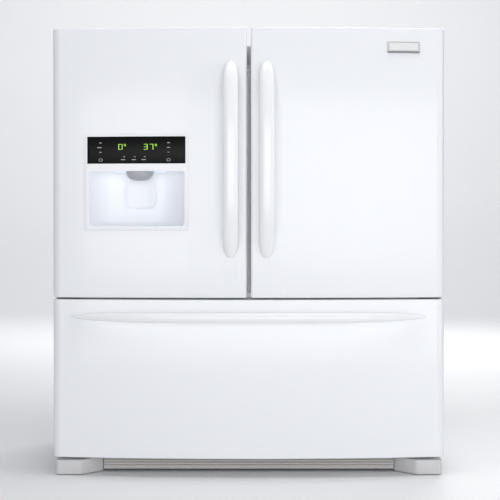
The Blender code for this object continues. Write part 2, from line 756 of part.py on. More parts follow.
def dispenser():
    """The dispenser's one-piece housing, the touch panel let into it, the ice nozzle and the paddle."""
    left, right = DISPENSER_LEFT + GAP, DISPENSER_RIGHT - GAP
    bottom, top = DISPENSER_BOTTOM + GAP, DISPENSER_TOP - GAP
    near = front_points(left, right, -0.0015, 8)
    back = [(right, RECESS_BACK_Y + 0.008), (left, RECESS_BACK_Y + 0.008)]
    housing = upright("dispenser_housing", near + back, bottom, top, TRIM, smooth=True)
    wall = 0.005
    recess = upright(
        "recess_hollow",
        [
            (left + wall, -0.5),
            (right - wall, -0.5),
            (right - wall, RECESS_BACK_Y - 0.040),
            (right - wall - 0.045, RECESS_BACK_Y - 0.008),
            (NOZZLE_X + 0.050, RECESS_BACK_Y),
            (NOZZLE_X - 0.050, RECESS_BACK_Y),
            (left + wall + 0.045, RECESS_BACK_Y - 0.008),
            (left + wall, RECESS_BACK_Y - 0.040),
        ],
        bottom + 0.006,
        RECESS_TOP,
    )
    pocket = bowed_slab("panel_pocket", left + 0.0025, right - 0.0025, PANEL_BOTTOM, 1.2, -0.02, 0.006)
    pocket_rim = block("panel_rim", (left - 0.01, -0.5, top - 0.0025), (right + 0.01, -0.2, 1.3))
    cut(pocket, pocket_rim)
    cut(housing, recess, pocket)
    for side in (-1, 1):
        inner, outer = sorted((NOZZLE_X + side * 0.037, NOZZLE_X + side * 0.043))
        lug_low = (inner, PADDLE_AXIS_Y - 0.007, PADDLE_AXIS_Z - 0.006)
        lug_high = (outer, PADDLE_AXIS_Y + 0.007, RECESS_TOP + 0.001)
        fuse(housing, block(f"paddle_lug_{side}", lug_low, lug_high))
    middle = (NOZZLE_X, PADDLE_AXIS_Y, PADDLE_AXIS_Z)
    cut(housing, disc("paddle_hole", middle, "X", 0.0044, 0.050, 12))
    bottom, top = PANEL_BOTTOM + 0.0005, top - 0.003
    bowed_slab("control_panel", left + 0.003, right - 0.003, bottom, top, -0.0015, 0.0055, BLACK_GLASS)
    nozzle_profile = [
        (0.020, 0.0),
        (0.030, 0.0),
        (0.042, 0.024),
        (0.042, 0.028),
        (0.034, 0.028),
        (0.020, 0.006),
        (0.020, 0.0),
    ]
    nozzle(nozzle_profile)
    paddle_plan = [
        (NOZZLE_X - 0.034, 0.0),
        (NOZZLE_X + 0.034, 0.0),
        (NOZZLE_X + 0.044, -0.075),
        (NOZZLE_X + 0.030, -0.100),
        (NOZZLE_X - 0.030, -0.100),
        (NOZZLE_X - 0.044, -0.075),
    ]
    top_z, face_y = PADDLE_AXIS_Z, PADDLE_AXIS_Y - 0.003
    outline = [(x, face_y - 0.10 * -z * 0.12, top_z + z) for x, z in paddle_plan]
    paddle = prism("dispenser_paddle", outline, (0, 0, 0), (0, 0.004, 0), LEG_TRIM)
    fuse(paddle, disc("paddle_pivot", middle, "X", 0.004, 0.042, 12))


PADDLE_AXIS_Y = -0.262
PADDLE_AXIS_Z = 0.9165


def nozzle(profile):
    """The round ice outlet under the recess ceiling: a tapered ring."""
    bm = bmesh.new()
    sides = 24
    rows = [
        [
            bm.verts.new(
                (r * math.cos(2 * math.pi * k / sides), r * math.sin(2 * math.pi * k / sides), z)
            )
            for k in range(sides)
        ]
        for r, z in profile[:-1]
    ]
    for one, two in zip(rows, rows[1:] + rows[:1]):
        for k in range(sides):
            bm.faces.new((one[k], one[(k + 1) % sides], two[(k + 1) % sides], two[k]))
    made = object_from("ice_nozzle", bm, GREY_TRIM, smooth=True)
    made.location = (NOZZLE_X, -0.312, RECESS_TOP - GAP - 0.028)


def door_furniture():
    middle_z, half = (HANDLE_BOTTOM + HANDLE_TOP) / 2, (HANDLE_TOP - HANDLE_BOTTOM) / 2
    bowed_bar("left_handle", TRIM, "Z", (-HANDLE_X, middle_z), half, HANDLE_WIDTH)
    bowed_bar("right_handle", TRIM, "Z", (HANDLE_X, middle_z), half, HANDLE_WIDTH)
    middle, half = (0, DRAWER_HANDLE_Z), DRAWER_HANDLE_HALF
    bowed_bar("drawer_handle", TRIM, "X", middle, half, DRAWER_HANDLE_HEIGHT, stations=34)
    bowed_slab("badge", 0.4215, 0.5205, 1.2835, 1.3185, -0.0034, -GAP, BADGE_METAL, steps=3)


def mullion_flap():
    """The left door's folding mullion: it closes the slot between the doors and turns in as one opens."""
    flap = block(
        "mullion_flap",
        (FLAP_AXIS_X - 0.005, CABINET_FRONT_Y + 0.001, FLAP_BOTTOM),
        (FLAP_TIP_X, CABINET_FRONT_Y + 0.013, FLAP_TOP),
        TRIM,
    )
    for word, z in (("low", FLAP_BOTTOM - 0.004), ("high", FLAP_TOP + 0.004)):
        pin = disc(f"flap_pin_{word}", (FLAP_AXIS_X, FLAP_AXIS_Y, z), "Z", 0.0024, 0.0046, 12)
        fuse(flap, pin)


BIN_BACK_Y = -0.168
BIN_HEIGHT = 0.084
LEFT_BINS = (0.616, 1.062)
RIGHT_BINS = (0.616, 0.818, 1.020)
LID_AXIS_Y = DOOR_BACK_Y + 0.006
LID_AXIS_Z = RIGHT_BINS[-1] + BIN_HEIGHT + 0.0055


def bin_rack(name, left, right, bottoms, strip_left, strip_right):
    """Clear door bins, one above another, on a thin back strip that clips to the door."""
    front = DOOR_BACK_Y + GAP
    lowest = bottoms[0]
    rack = open_box(name, (left, front, lowest), (right, BIN_BACK_Y, lowest + BIN_HEIGHT), 0.003, CLEAR)
    for bottom in bottoms[1:]:
        low, high = (left, front, bottom), (right, BIN_BACK_Y, bottom + BIN_HEIGHT)
        hollow_low = (left + 0.003, front + 0.003, bottom + 0.003)
        hollow_high = (right - 0.003, BIN_BACK_Y - 0.003, bottom + BIN_HEIGHT + 0.003)
        fuse(rack, block(f"{name}_{bottom}", low, high))
        cut(rack, block(f"{name}_hollow_{bottom}", hollow_low, hollow_high))
    strip_low = (strip_left, front, lowest + 0.020)
    fuse(rack, block(name + "_strip", strip_low, (strip_right, front + 0.0028, bottoms[-1] + 0.020)))


def door_bins():
    """The bins inside both doors, the top right one with a hinged lid for dairy."""
    bin_rack("left_door_bins", -0.505, -0.084, LEFT_BINS, -0.150, -0.095)
    bin_rack("right_door_bins", 0.086, 0.500, RIGHT_BINS, 0.250, 0.336)
    lid_bottom = LID_AXIS_Z - 0.0025
    lid_low = (0.087, LID_AXIS_Y - 0.002, lid_bottom)
    lid = block("dairy_lid", lid_low, (0.499, BIN_BACK_Y + 0.003, lid_bottom + 0.003), CLEAR)
    roll = disc("lid_roll", (0.293, LID_AXIS_Y, LID_AXIS_Z), "X", 0.003, 0.205, 12)
    lip_low = (0.087, BIN_BACK_Y + 0.001, lid_bottom - 0.015)
    fuse(lid, roll, block("lid_lip", lip_low, (0.499, BIN_BACK_Y + 0.003, lid_bottom + 0.003)))


def doors():
    door_skins()
    left = door_liner("left", -1)
    flap_pivots(left)
    dispenser_bump(left)
    door_liner("right", 1)
    gasket("left_door_gasket", -0.566, -0.010, 0.556, 1.286, 0.015, 0, 0.009)
    gasket("right_door_gasket", 0.0075, 0.566, 0.556, 1.286, 0.015, 0.011, 0)
    dispenser()
    mullion_flap()
    door_bins()


def freezer_drawer():
    span = (-DOOR_HALF, DOOR_HALF, OUTER_CORNER, OUTER_CORNER)
    skin, hollow = pan("drawer_skin", *span, DRAWER_BOTTOM, DRAWER_TOP, PAINT)
    cut(skin, hollow)
    sheet = DOOR_STEEL + GAP
    half = DOOR_HALF - sheet
    liner = block(
        "drawer_liner",
        (-half, DOOR_BACK_Y - PLASTIC, DRAWER_BOTTOM + sheet),
        (half, DOOR_BACK_Y, DRAWER_TOP - sheet),
        LINER,
    )
    dyke_low = (-DYKE_OUTER_X, DOOR_BACK_Y - 0.001, 0.128)
    dyke = ring_frame("drawer_dyke", dyke_low, (DYKE_OUTER_X, DYKE_BACK_Y, 0.484), DYKE_WALL, None)
    fuse(liner, dyke)
    gasket("drawer_gasket", -0.566, 0.566, 0.085, 0.524, 0.014, 0, 0)
    for side, word in ((-1, "left"), (1, "right")):
        inner, outer = sorted((side * 0.496, side * 0.5085))
        arm_low = (inner, DOOR_BACK_Y + GAP, 0.150)
        block(f"drawer_arm_{word}", arm_low, (outer, 0.150, 0.186), STEEL_PLATE)
        inner, outer = sorted((side * 0.5125, side * (CAVITY_HALF - GAP)))
        rail = block(f"slide_rail_{word}", (inner, -0.228, 0.140), (outer, 0.180, 0.196), STEEL_PLATE)
        groove_in, groove_out = sorted((side * 0.50, side * 0.527))
        cut(rail, block(f"rail_groove_{word}", (groove_in, -0.3, 0.150), (groove_out, 0.3, 0.186)))
    open_box("lower_basket", (-0.488, -0.232, 0.124), (0.488, 0.160, 0.292), 0.004, WIRE)
    open_box("upper_basket", (-0.526, -0.200, 0.333), (0.526, 0.255, 0.440), 0.004, WIRE)


# ---------------------------------------------------------------- inside the fridge


def fridge_fittings():
    """Glass shelves, crispers on their divider, and the ice maker with its bin."""
    block("upper_shelf", (-0.528, -0.135, 0.992), (0.528, 0.350, 1.006), GLASS)
    cover = block("crisper_shelf", (-0.529, -0.115, 0.800), (0.529, 0.358, 0.816), GLASS)
    fuse(cover, block("crisper_divider", (-0.006, -0.095, FRIDGE_FLOOR + 0.001), (0.006, 0.350, 0.801)))
    for side in (-1, 1):
        inner, outer = sorted((side * 0.500, side * 0.529))
        fuse(cover, block(f"crisper_guide_{side}", (inner, -0.100, 0.760), (outer, 0.350, 0.801)))
    for side, word in ((-1, "left"), (1, "right")):
        inner, outer = sorted((side * 0.010, side * 0.490))
        open_box(f"crisper_{word}", (inner, -0.115, 0.590), (outer, 0.335, 0.790), 0.003, CLEAR)
    open_box("ice_maker", (-0.527, -0.100, 1.070), (-0.208, 0.320, 1.254), 0.005, LINER, "-Y")
    mould = block("ice_mould", (-0.523, -0.020, 1.205), (-0.212, 0.317, 1.251))
    fuse(bpy.data.objects["ice_maker"], mould)
    open_box("ice_bin", (-0.488, -0.106, 1.078), (-0.218, 0.240, 1.196), 0.004, CLEAR)


# ---------------------------------------------------------------- pivots


def pivot(name, point, *members):
    """An empty on a joint's axis, carrying the pieces that turn or slide with it."""
    hub = bpy.data.objects.new(name, None)
    hub.empty_display_size = 0.05
    hub.location = point
    bpy.context.scene.collection.objects.link(hub)
    bpy.context.view_layer.update()
    for member in members:
        piece = bpy.data.objects[member]
        piece.parent = hub
        piece.matrix_parent_inverse = hub.matrix_world.inverted()
    return hub


def pivots():
    left = pivot(
        "left_door_pivot",
        (-HINGE_X, HINGE_Y, DOOR_BOTTOM),
        "left_door_skin",
        "left_door_liner",
        "left_door_gasket",
        "left_handle",
        "control_panel",
        "dispenser_housing",
        "ice_nozzle",
        "left_door_bins",
    )
    right = pivot(
        "right_door_pivot",
        (HINGE_X, HINGE_Y, DOOR_BOTTOM),
        "right_door_skin",
        "right_door_liner",
        "right_door_gasket",
        "right_handle",
        "badge",
        "right_door_bins",
    )
    pivot(
        "drawer_slide",
        (0, DOOR_BACK_Y, DRAWER_BOTTOM),
        "drawer_skin",
        "drawer_liner",
        "drawer_gasket",
        "drawer_handle",
        "drawer_arm_left",
        "drawer_arm_right",
        "lower_basket",
    )
    flap = pivot("flap_pivot", (FLAP_AXIS_X, FLAP_AXIS_Y, FLAP_BOTTOM), "mullion_flap")
    paddle = pivot("paddle_axis", (NOZZLE_X, PADDLE_AXIS_Y, PADDLE_AXIS_Z), "dispenser_paddle")
    lid = pivot("lid_axis", (0.293, LID_AXIS_Y, LID_AXIS_Z), "dairy_lid")
    for child, parent in ((flap, left), (paddle, left), (lid, right)):
        child.parent = parent
        child.matrix_parent_inverse = parent.matrix_world.inverted()


def build():
    clear_scene()
    cabinet_wrapper()
    cabinet_back()
    liners()
    cabinet_foam()
    base_frame()
    rollers_and_legs()
    toe_trim()
    machinery()
    machine_cover()
    hinges()
    doors()
    freezer_drawer()
    door_furniture()
    fridge_fittings()
    pivots()


build()
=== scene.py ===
import math

import bmesh
import bpy
from mathutils import Matrix, Vector


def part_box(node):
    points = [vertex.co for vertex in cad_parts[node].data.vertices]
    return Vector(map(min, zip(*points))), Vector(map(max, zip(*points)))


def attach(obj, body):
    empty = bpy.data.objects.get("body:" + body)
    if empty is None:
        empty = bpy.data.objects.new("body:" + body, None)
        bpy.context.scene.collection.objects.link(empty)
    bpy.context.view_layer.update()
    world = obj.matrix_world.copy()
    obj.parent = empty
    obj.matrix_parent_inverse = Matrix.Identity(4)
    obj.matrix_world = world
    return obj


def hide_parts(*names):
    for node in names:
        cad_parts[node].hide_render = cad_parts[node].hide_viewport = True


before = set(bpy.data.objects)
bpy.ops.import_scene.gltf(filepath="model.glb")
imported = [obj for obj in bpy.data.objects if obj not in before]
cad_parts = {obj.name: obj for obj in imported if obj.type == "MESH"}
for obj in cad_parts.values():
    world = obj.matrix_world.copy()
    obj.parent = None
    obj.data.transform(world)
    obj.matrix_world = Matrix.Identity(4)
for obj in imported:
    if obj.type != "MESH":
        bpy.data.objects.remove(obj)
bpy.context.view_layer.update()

# ======================================================================================
# The room: a pale floor that curves up into a pale wall, soft lamps, and the camera.
# The camera stands square in front, level with the dispenser's lower edge.

camera_data = bpy.data.cameras.new("front_camera")
camera_data.lens = 92.4
camera_data.sensor_width = 36.0
camera_data.shift_y = -0.0159
camera = bpy.data.objects.new("front_camera", camera_data)
camera.location = (0.0038, -4.2246, 0.7476)
camera.rotation_euler = (math.radians(89.4515), 0, 0)
bpy.context.scene.collection.objects.link(camera)
bpy.context.scene.camera = camera


def soft_lamp(name, place, aim, width, height, watts, tint):
    """A large rectangular lamp at place, turned to face aim."""
    lamp = bpy.data.lights.new(name, "AREA")
    lamp.shape = "RECTANGLE"
    lamp.size, lamp.size_y = width, height
    lamp.energy = watts
    lamp.color = tint
    made = bpy.data.objects.new(name, lamp)
    made.location = place
    made.rotation_euler = (Vector(aim) - Vector(place)).to_track_quat("-Z", "Y").to_euler()
    bpy.context.scene.collection.objects.link(made)


soft_lamp("front_lamp", (0.30, -5.2, 0.95), (0.05, -0.3, 0.80), 5.4, 2.0, 106, (1.0, 1.0, 1.0))
soft_lamp("overhead_lamp", (0.2, -0.9, 3.4), (0, -0.3, 0.5), 3.0, 1.2, 38, (1.0, 0.995, 0.985))
soft_lamp("right_lamp", (3.3, -1.6, 1.1), (0.1, -0.2, 0.8), 1.2, 2.0, 18, (1.0, 1.0, 1.0))
soft_lamp("left_lamp", (-3.6, -0.2, 1.4), (-0.1, 0.1, 0.7), 2.0, 2.4, 4, (0.97, 0.985, 1.0))
soft_lamp("rear_lamp", (1.2, 4.2, 3.4), (0, 0.3, 0.6), 3.0, 2.2, 90, (1.0, 1.0, 1.0))
soft_lamp("backdrop_lamp", (0, 4.0, 3.9), (0, 8.0, 0.8), 8.0, 1.2, 150, (1.0, 1.0, 1.0))

world = bpy.data.worlds.new("room_light")
bpy.context.scene.world = world
world.use_nodes = True
world.node_tree.nodes["Background"].inputs["Color"].default_value = (0.93, 0.95, 1.0, 1)
world.node_tree.nodes["Background"].inputs["Strength"].default_value = 0.36
bpy.context.scene.view_settings.view_transform = "Standard"
bpy.context.scene.view_settings.look = "None"


def finish(
    name,
    colour,
    second,
    roughness,
    grain,
    relief,
    metallic=0.0,
    coat=0.0,
    alpha=1.0,
    stretch=(1, 1, 1),
    swing=0.06,
    cloud=5.0,
):
    """A surface: two near colours clouded together, an uneven gloss, and fine relief, sized in metres."""
    made = bpy.data.materials.new(name)
    made.use_nodes = True
    nodes, links = made.node_tree.nodes, made.node_tree.links
    shader = nodes["Principled BSDF"]
    shader.inputs["Metallic"].default_value = metallic
    shader.inputs["Coat Weight"].default_value = coat
    shader.inputs["Coat Roughness"].default_value = 0.08
    shader.inputs["Alpha"].default_value = alpha
    place = nodes.new("ShaderNodeTexCoord")
    turn = nodes.new("ShaderNodeMapping")
    turn.inputs["Scale"].default_value = stretch
    links.new(place.outputs["Object"], turn.inputs["Vector"])
    clouds = nodes.new("ShaderNodeTexNoise")
    clouds.inputs["Scale"].default_value = cloud
    clouds.inputs["Detail"].default_value = 3.0
    links.new(turn.outputs["Vector"], clouds.inputs["Vector"])
    blend = nodes.new("ShaderNodeMix")
    blend.data_type = "RGBA"
    blend.inputs[6].default_value = (*colour, 1)
    blend.inputs[7].default_value = (*second, 1)
    links.new(clouds.outputs["Fac"], blend.inputs[0])
    links.new(blend.outputs[2], shader.inputs["Base Color"])
    fine = nodes.new("ShaderNodeTexNoise")
    fine.inputs["Scale"].default_value = grain
    fine.inputs["Detail"].default_value = 2.0
    links.new(turn.outputs["Vector"], fine.inputs["Vector"])
    gloss = nodes.new("ShaderNodeMapRange")
    gloss.inputs["From Min"].default_value = 0.3
    gloss.inputs["From Max"].default_value = 0.7
    gloss.inputs["To Min"].default_value = roughness - swing
    gloss.inputs["To Max"].default_value = roughness + swing
    links.new(fine.outputs["Fac"], gloss.inputs["Value"])
    links.new(gloss.outputs["Result"], shader.inputs["Roughness"])
    bump = nodes.new("ShaderNodeBump")
    bump.inputs["Strength"].default_value = 0.6
    bump.inputs["Distance"].default_value = relief
    links.new(fine.outputs["Fac"], bump.inputs["Height"])
    links.new(bump.outputs["Normal"], shader.inputs["Normal"])
    return made


def lit(look, colour, strength):
    """Makes a surface give off some light."""
    shader = look.node_tree.nodes["Principled BSDF"]
    shader.inputs["Emission Color"].default_value = (*colour, 1)
    shader.inputs["Emission Strength"].default_value = strength
    return look


floor_finish = finish("pale_floor", (0.90, 0.90, 0.905), (0.88, 0.882, 0.892), 0.55, 300, 0.0001)
cove = bmesh.new()
cove_line = [(-12.0, 0.0), (7.0, 0.0)]
cove_line += [(7.0 + 1.5 * math.sin(a), 1.5 - 1.5 * math.cos(a)) for a in (0.2, 0.45, 0.7, 0.95, 1.2, 1.4)]
cove_line += [(8.5, 1.6), (8.5, 9.0)]
near = [cove.verts.new((-12, y, z)) for y, z in cove_line]
far = [cove.verts.new((12, y, z)) for y, z in cove_line]
for k in range(len(near) - 1):
    cove.faces.new((near[k], far[k], far[k + 1], near[k + 1]))
bmesh.ops.recalc_face_normals(cove, faces=cove.faces)
floor_mesh = bpy.data.meshes.new("floor")
cove.to_mesh(floor_mesh)
cove.free()
floor_mesh.shade_smooth()
floor_mesh.materials.append(floor_finish)
floor = bpy.data.objects.new("floor", floor_mesh)
bpy.context.scene.collection.objects.link(floor)

# ======================================================================================
# Door and drawer skins: pressed steel pans, bowed in one sweep across the whole width, in
# white enamel. Their outer edges are rolled, and the doors are notched over the hinges.

enamel = finish(
    "white_enamel", (0.80, 0.815, 0.84), (0.79, 0.805, 0.83), 0.30, 260, 0.000008, coat=0.35, swing=0.03
)

HALF_WIDTH = 0.595
BOW = 0.040
CROWN_Y = -0.375
DOOR_BACK_Y = -0.265
DOOR_LOW, DOOR_HIGH = 0.5426, 1.356
DRAWER_LOW, DRAWER_HIGH = 0.058, 0.5374
CENTRE_EDGE = 0.006
OUTER_CORNER, INNER_CORNER = 0.028, 0.0075
EDGE_ROLL = 0.004
SHEET = 0.0015
HINGE_X, HINGE_Y = 0.575, -0.285
CABINET_TOP = 1.318
DISPENSER = (-0.490, -0.187, 0.7515, 1.031)


def front_y(x):
    """The bow of the front: one arc over the whole width."""
    radius = (HALF_WIDTH**2 + BOW**2) / (2 * BOW)
    return CROWN_Y + radius - math.sqrt(radius**2 - x**2)


def bridge(bm, rings, caps=True, ends_meet=False):
    """Faces over a stack of rings of points, closed by end faces unless the stack meets itself."""
    rows = [[bm.verts.new(p) for p in ring] for ring in rings]
    count = len(rows[0])
    pairs = list(zip(rows, rows[1:]))
    if ends_meet:
        pairs.append((rows[-1], rows[0]))
    for one, two in pairs:
        for k in range(count):
            n = (k + 1) % count
            bm.faces.new((one[k], one[n], two[n], two[k]))
    if caps and not ends_meet:
        bm.faces.new(rows[0])
        bm.faces.new(rows[-1])
    return rows


def bridged(rings, ends_meet=False):
    """A shape of its own from a stack of rings."""
    bm = bmesh.new()
    bridge(bm, rings, ends_meet=ends_meet)
    return bm


def prism(outline, axis, *levels):
    """A flat outline carried along an axis from level to level."""
    place = {
        "X": lambda p, q, level: (level, p, q),
        "Y": lambda p, q, level: (p, level, q),
        "Z": lambda p, q, level: (p, q, level),
    }[axis]
    return bridged([[place(p, q, level) for p, q in outline] for level in levels])


def block(bm, low, high):
    """A box between two corners, added to bm."""
    made = bmesh.ops.create_cube(bm, size=1.0)["verts"]
    bmesh.ops.scale(bm, vec=Vector(high) - Vector(low), verts=made)
    bmesh.ops.translate(bm, vec=(Vector(low) + Vector(high)) / 2, verts=made)
    return made


def box_of(low, high):
    bm = bmesh.new()
    block(bm, low, high)
    return bm


def solid(name, bm):
    """An object that only exists while a shape is being made."""
    bmesh.ops.recalc_face_normals(bm, faces=bm.faces)
    mesh = bpy.data.meshes.new(name)
    bm.to_mesh(mesh)
    bm.free()
    made = bpy.data.objects.new(name, mesh)
    bpy.context.scene.collection.objects.link(made)
    return made


def settle(target):
    """Applies every modifier on target."""
    graph = bpy.context.evaluated_depsgraph_get()
    mesh = bpy.data.meshes.new_from_object(target.evaluated_get(graph))
    target.modifiers.clear()
    old = target.data
    target.data = mesh
    bpy.data.meshes.remove(old)
    return target


def combine(target, operation, *shapes):
    """Cuts shapes from target, or joins them to it, and drops them."""
    others = [s if isinstance(s, bpy.types.Object) else solid("tool", s) for s in shapes]
    for other in others:
        step = target.modifiers.new("step", "BOOLEAN")
        step.object = other
        step.operation = operation
        step.solver = "EXACT"
    settle(target)
    for other in others:
        mesh = other.data
        bpy.data.objects.remove(other)
        bpy.data.meshes.remove(mesh)
    return target


def fit(made, look, body, nodes=(), sharp=32):
    """Gives a finished shape its surface and its body, and puts it in place of CAD nodes."""
    mesh = made.data
    mesh.materials.clear()
    mesh.materials.append(look)
    mesh.shade_smooth()
    mesh.set_sharp_from_angle(angle=math.radians(sharp))
    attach(made, body)
    if nodes:
        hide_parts(*nodes)
    return made


def arc(centre, radius, start, end, steps):
    """Points on a circle from start to end, in degrees, ends included."""
    turns = [math.radians(start + (end - start) * i / steps) for i in range(steps + 1)]
    return [(centre[0] + radius * math.cos(a), centre[1] + radius * math.sin(a)) for a in turns]


def circle(sides):
    """The corners of a regular polygon round the origin, one unit out."""
    return arc((0, 0), 1, 0, 360, sides)[:-1]


QUARTER = arc((0, 0), 1, 0, 90, 5)


def pan_ring(left, right, left_corner, right_corner, inset, back_y, z, strips=80):
    """One level of a pan: back edge, rounded side, bowed front, rounded side."""
    first, last = left + left_corner, right - right_corner
    xs = [first + (last - first) * i / strips for i in range(strips + 1)]
    left_y = front_y(xs[0]) + left_corner
    right_y = front_y(xs[-1]) + right_corner
    plan = [(left + inset, back_y)]
    plan += arc((xs[0], left_y), left_corner - inset, 180, 270, 9)[:-1]
    plan += [(x, front_y(x) + inset) for x in xs]
    plan += arc((xs[-1], right_y), right_corner - inset, 270, 360, 9)[1:]
    plan += [(right - inset, back_y)]
    return [(x, y, z) for x, y in plan]


def pan_solid(name, ends, corners, low, high, inset=0.0, back_y=DOOR_BACK_Y, roll=EDGE_ROLL):
    """A bowed slab with rolled top and bottom edges."""
    levels = [(roll * (1 - c), roll * (1 - s)) for c, s in arc((0, 0), 1, 0, 90, 6)]
    bottom = [(inset + inward, low + inset + rise) for inward, rise in reversed(levels)]
    top = [(inset + inward, high - inset - drop) for inward, drop in levels]
    bm = bridged([pan_ring(*ends, *corners, shrink, back_y, z) for shrink, z in bottom + top])
    return solid(name, bm)


def round_tool(centre, axis, radius, half, sides=32):
    """A round bar for cutting a hole or adding a pin."""
    bm = bmesh.new()
    bmesh.ops.create_cone(bm, cap_ends=True, segments=sides, radius1=radius, radius2=radius, depth=2 * half)
    turn = {"X": Matrix.Rotation(math.pi / 2, 4, "Y"), "Y": Matrix.Rotation(math.pi / 2, 4, "X")}
    bmesh.ops.transform(bm, matrix=turn.get(axis, Matrix.Identity(4)), verts=bm.verts)
    bmesh.ops.translate(bm, vec=Vector(centre), verts=bm.verts)
    return bm


def pocket_tool(side, grow):
    """The notch at a door's top rear corner, over its hinge."""
    inner, outer = sorted((side * (0.522 - grow), side * 0.70))
    return box_of((inner, HINGE_Y - 0.020 - grow, CABINET_TOP - 0.006 - grow), (outer, 0.0, 1.5))


def bush_tools(side):
    """The holes for the hinge pins at a door's top and bottom."""
    tops = (CABINET_TOP - 0.006, DOOR_LOW)
    return [round_tool((side * HINGE_X, HINGE_Y, z), "Z", 0.0065, 0.010) for z in tops]


for side, word in ((-1, "left"), (1, "right")):
    ends = sorted((side * HALF_WIDTH, side * CENTRE_EDGE))
    corners = (OUTER_CORNER, INNER_CORNER) if side < 0 else (INNER_CORNER, OUTER_CORNER)
    hollow = pan_solid("hollow", ends, corners, DOOR_LOW, DOOR_HIGH, SHEET, DOOR_BACK_Y + 0.05, 0.0026)
    combine(hollow, "DIFFERENCE", pocket_tool(side, SHEET))
    skin = pan_solid(f"{word}_door_front", ends, corners, DOOR_LOW, DOOR_HIGH)
    combine(skin, "DIFFERENCE", hollow, pocket_tool(side, 0), *bush_tools(side))
    if side < 0:
        low_x, high_x, low_z, high_z = DISPENSER
        combine(skin, "DIFFERENCE", box_of((low_x, -0.6, low_z), (high_x, -0.27, high_z)))
    fit(skin, enamel, f"{word}_door", [f"{word}_door_skin"])

span, corners = (-HALF_WIDTH, HALF_WIDTH), (OUTER_CORNER, OUTER_CORNER)
hollow = pan_solid("hollow", span, corners, DRAWER_LOW, DRAWER_HIGH, SHEET, DOOR_BACK_Y + 0.05, 0.0026)
skin = pan_solid("freezer_drawer_front", span, corners, DRAWER_LOW, DRAWER_HIGH)
combine(skin, "DIFFERENCE", hollow)
fit(skin, enamel, "drawer", ["drawer_skin"])

# ======================================================================================
# Handles: arched bars moulded in white, hollow at the back in the real ones, each screwed
# to the front at both ends. The long one bows with the drawer it opens.

handle_white = finish(
    "handle_white", (0.84, 0.845, 0.86), (0.83, 0.84, 0.855), 0.24, 500, 0.000004, coat=0.25, swing=0.03
)
HANDLE_LIFT = 0.060
HANDLE_DEPTH = 0.026


def arched_bar(name, upright, middle, half, width, body, node, stations=150, turns=40):
    """A bar that springs from the front in a long arch and runs out into it in rounded ends."""
    rings = []
    for i in range(stations + 1):
        t = -math.cos(math.pi * i / stations)
        along = t * half * 0.998
        arch = 1 - abs(t) ** 3.2
        taper = max(1 - abs(t) ** 14, 0.0) ** 0.5 * 0.94 + 0.06
        if upright:
            wide = width / 2 * taper
        else:
            wide = width / 2 * taper * (0.55 + 0.45 * (1 - abs(t) ** 4))
        thick = HANDLE_DEPTH / 2 * (0.35 + 0.65 * taper)
        lift = (HANDLE_LIFT - HANDLE_DEPTH / 2) * arch + 0.004 * (1 - arch)
        centre = front_y(middle[0] if upright else along) - lift
        ring = []
        for c, s in circle(turns):
            across = wide * math.copysign(abs(c) ** 0.92, c)
            rise = thick * math.copysign(abs(s) ** (1.0 if s < 0 else 0.75), s)
            x = middle[0] + across if upright else along
            z = along + middle[1] if upright else middle[1] + across
            ring.append((x, min(centre + rise, front_y(x) - 0.0004), z))
        rings.append(ring)
    bm = bridged(rings)
    fit(solid(name, bm), handle_white, body, [node], sharp=50)


for side, word in ((-1, "left"), (1, "right")):
    middle = (side * 0.054, 0.958)
    arched_bar(f"{word}_door_handle", True, middle, 0.295, 0.046, f"{word}_door", f"{word}_handle")
arched_bar("freezer_drawer_handle", False, (0, 0.486), 0.537, 0.030, "drawer", "drawer_handle", 220)

# ======================================================================================
# Badge: a blank plate of satin silver with a raised rim, stuck to the right door's top. A dark strip under
# its lower edge is painted shadow.

BRUSHED = (1, 1, 14)
badge_silver = finish(
    "badge_silver",
    (0.60, 0.60, 0.605),
    (0.64, 0.64, 0.645),
    0.42,
    900,
    0.00002,
    metallic=0.4,
    stretch=BRUSHED,
)


def rounded_rectangle(low_x, high_x, low_z, high_z, radius, steps=5):
    """Points round a rectangle with round corners, anticlockwise."""
    points = arc((high_x - radius, low_z + radius), radius, -90, 0, steps)
    points += arc((high_x - radius, high_z - radius), radius, 0, 90, steps)
    points += arc((low_x + radius, high_z - radius), radius, 90, 180, steps)
    return points + arc((low_x + radius, low_z + radius), radius, 180, 270, steps)


def bowed_plate(outline_rows, rise):
    """A plate on the bowed front: rows of (inset, how far it stands out) from its foot to its middle."""
    low_x, high_x, low_z, high_z, radius = outline_rows
    rings = []
    for inset, out in rise:
        r = max(radius - inset, 0.0004)
        ring = rounded_rectangle(low_x + inset, high_x - inset, low_z + inset, high_z - inset, r)
        rings.append([(x, front_y(x) - out, z) for x, z in ring])
    return bridged(rings)


rim = [(0, 0.0004), (0, 0.0024), (0.0006, 0.0032), (0.0016, 0.0034), (0.0028, 0.0026), (0.0034, 0.0020)]
plate = bowed_plate((0.4171, 0.5164, 1.2795, 1.3147, 0.003), rim)
fit(solid("blank_badge", plate), badge_silver, "right_door", ["badge"])
badge_pale = finish(
    "badge_face", (0.66, 0.66, 0.665), (0.70, 0.70, 0.705), 0.38, 900, 0.00002, metallic=0.3, stretch=BRUSHED
)
# The dark grey strip under the plate's lower edge is painted shadow, cast by the badge onto the door.
shadow_under_badge = finish("painted_badge_shadow", (0.24, 0.235, 0.24), (0.20, 0.195, 0.20), 0.45, 500, 0.00002, metallic=0.3)
for name, look, edges, height in (
    ("badge_painted_shadow_strip", shadow_under_badge, (0.4180, 0.5155, 1.2800, 1.2856, 0.0012), 0.0040),
    ("badge_middle", badge_pale, (0.4228, 0.5108, 1.2878, 1.3100, 0.0015), 0.0042),
):
    plate = bowed_plate(edges, ((0, 0.0018), (0, height - 0.0005), (0.0005, height)))
    fit(solid(name, plate), look, "right_door")

# ======================================================================================
# Kick grille and leg covers: grey mouldings under the drawer. The grille's slats run the
# whole way between the covers, which flare out to the corners and hide the leveling legs.

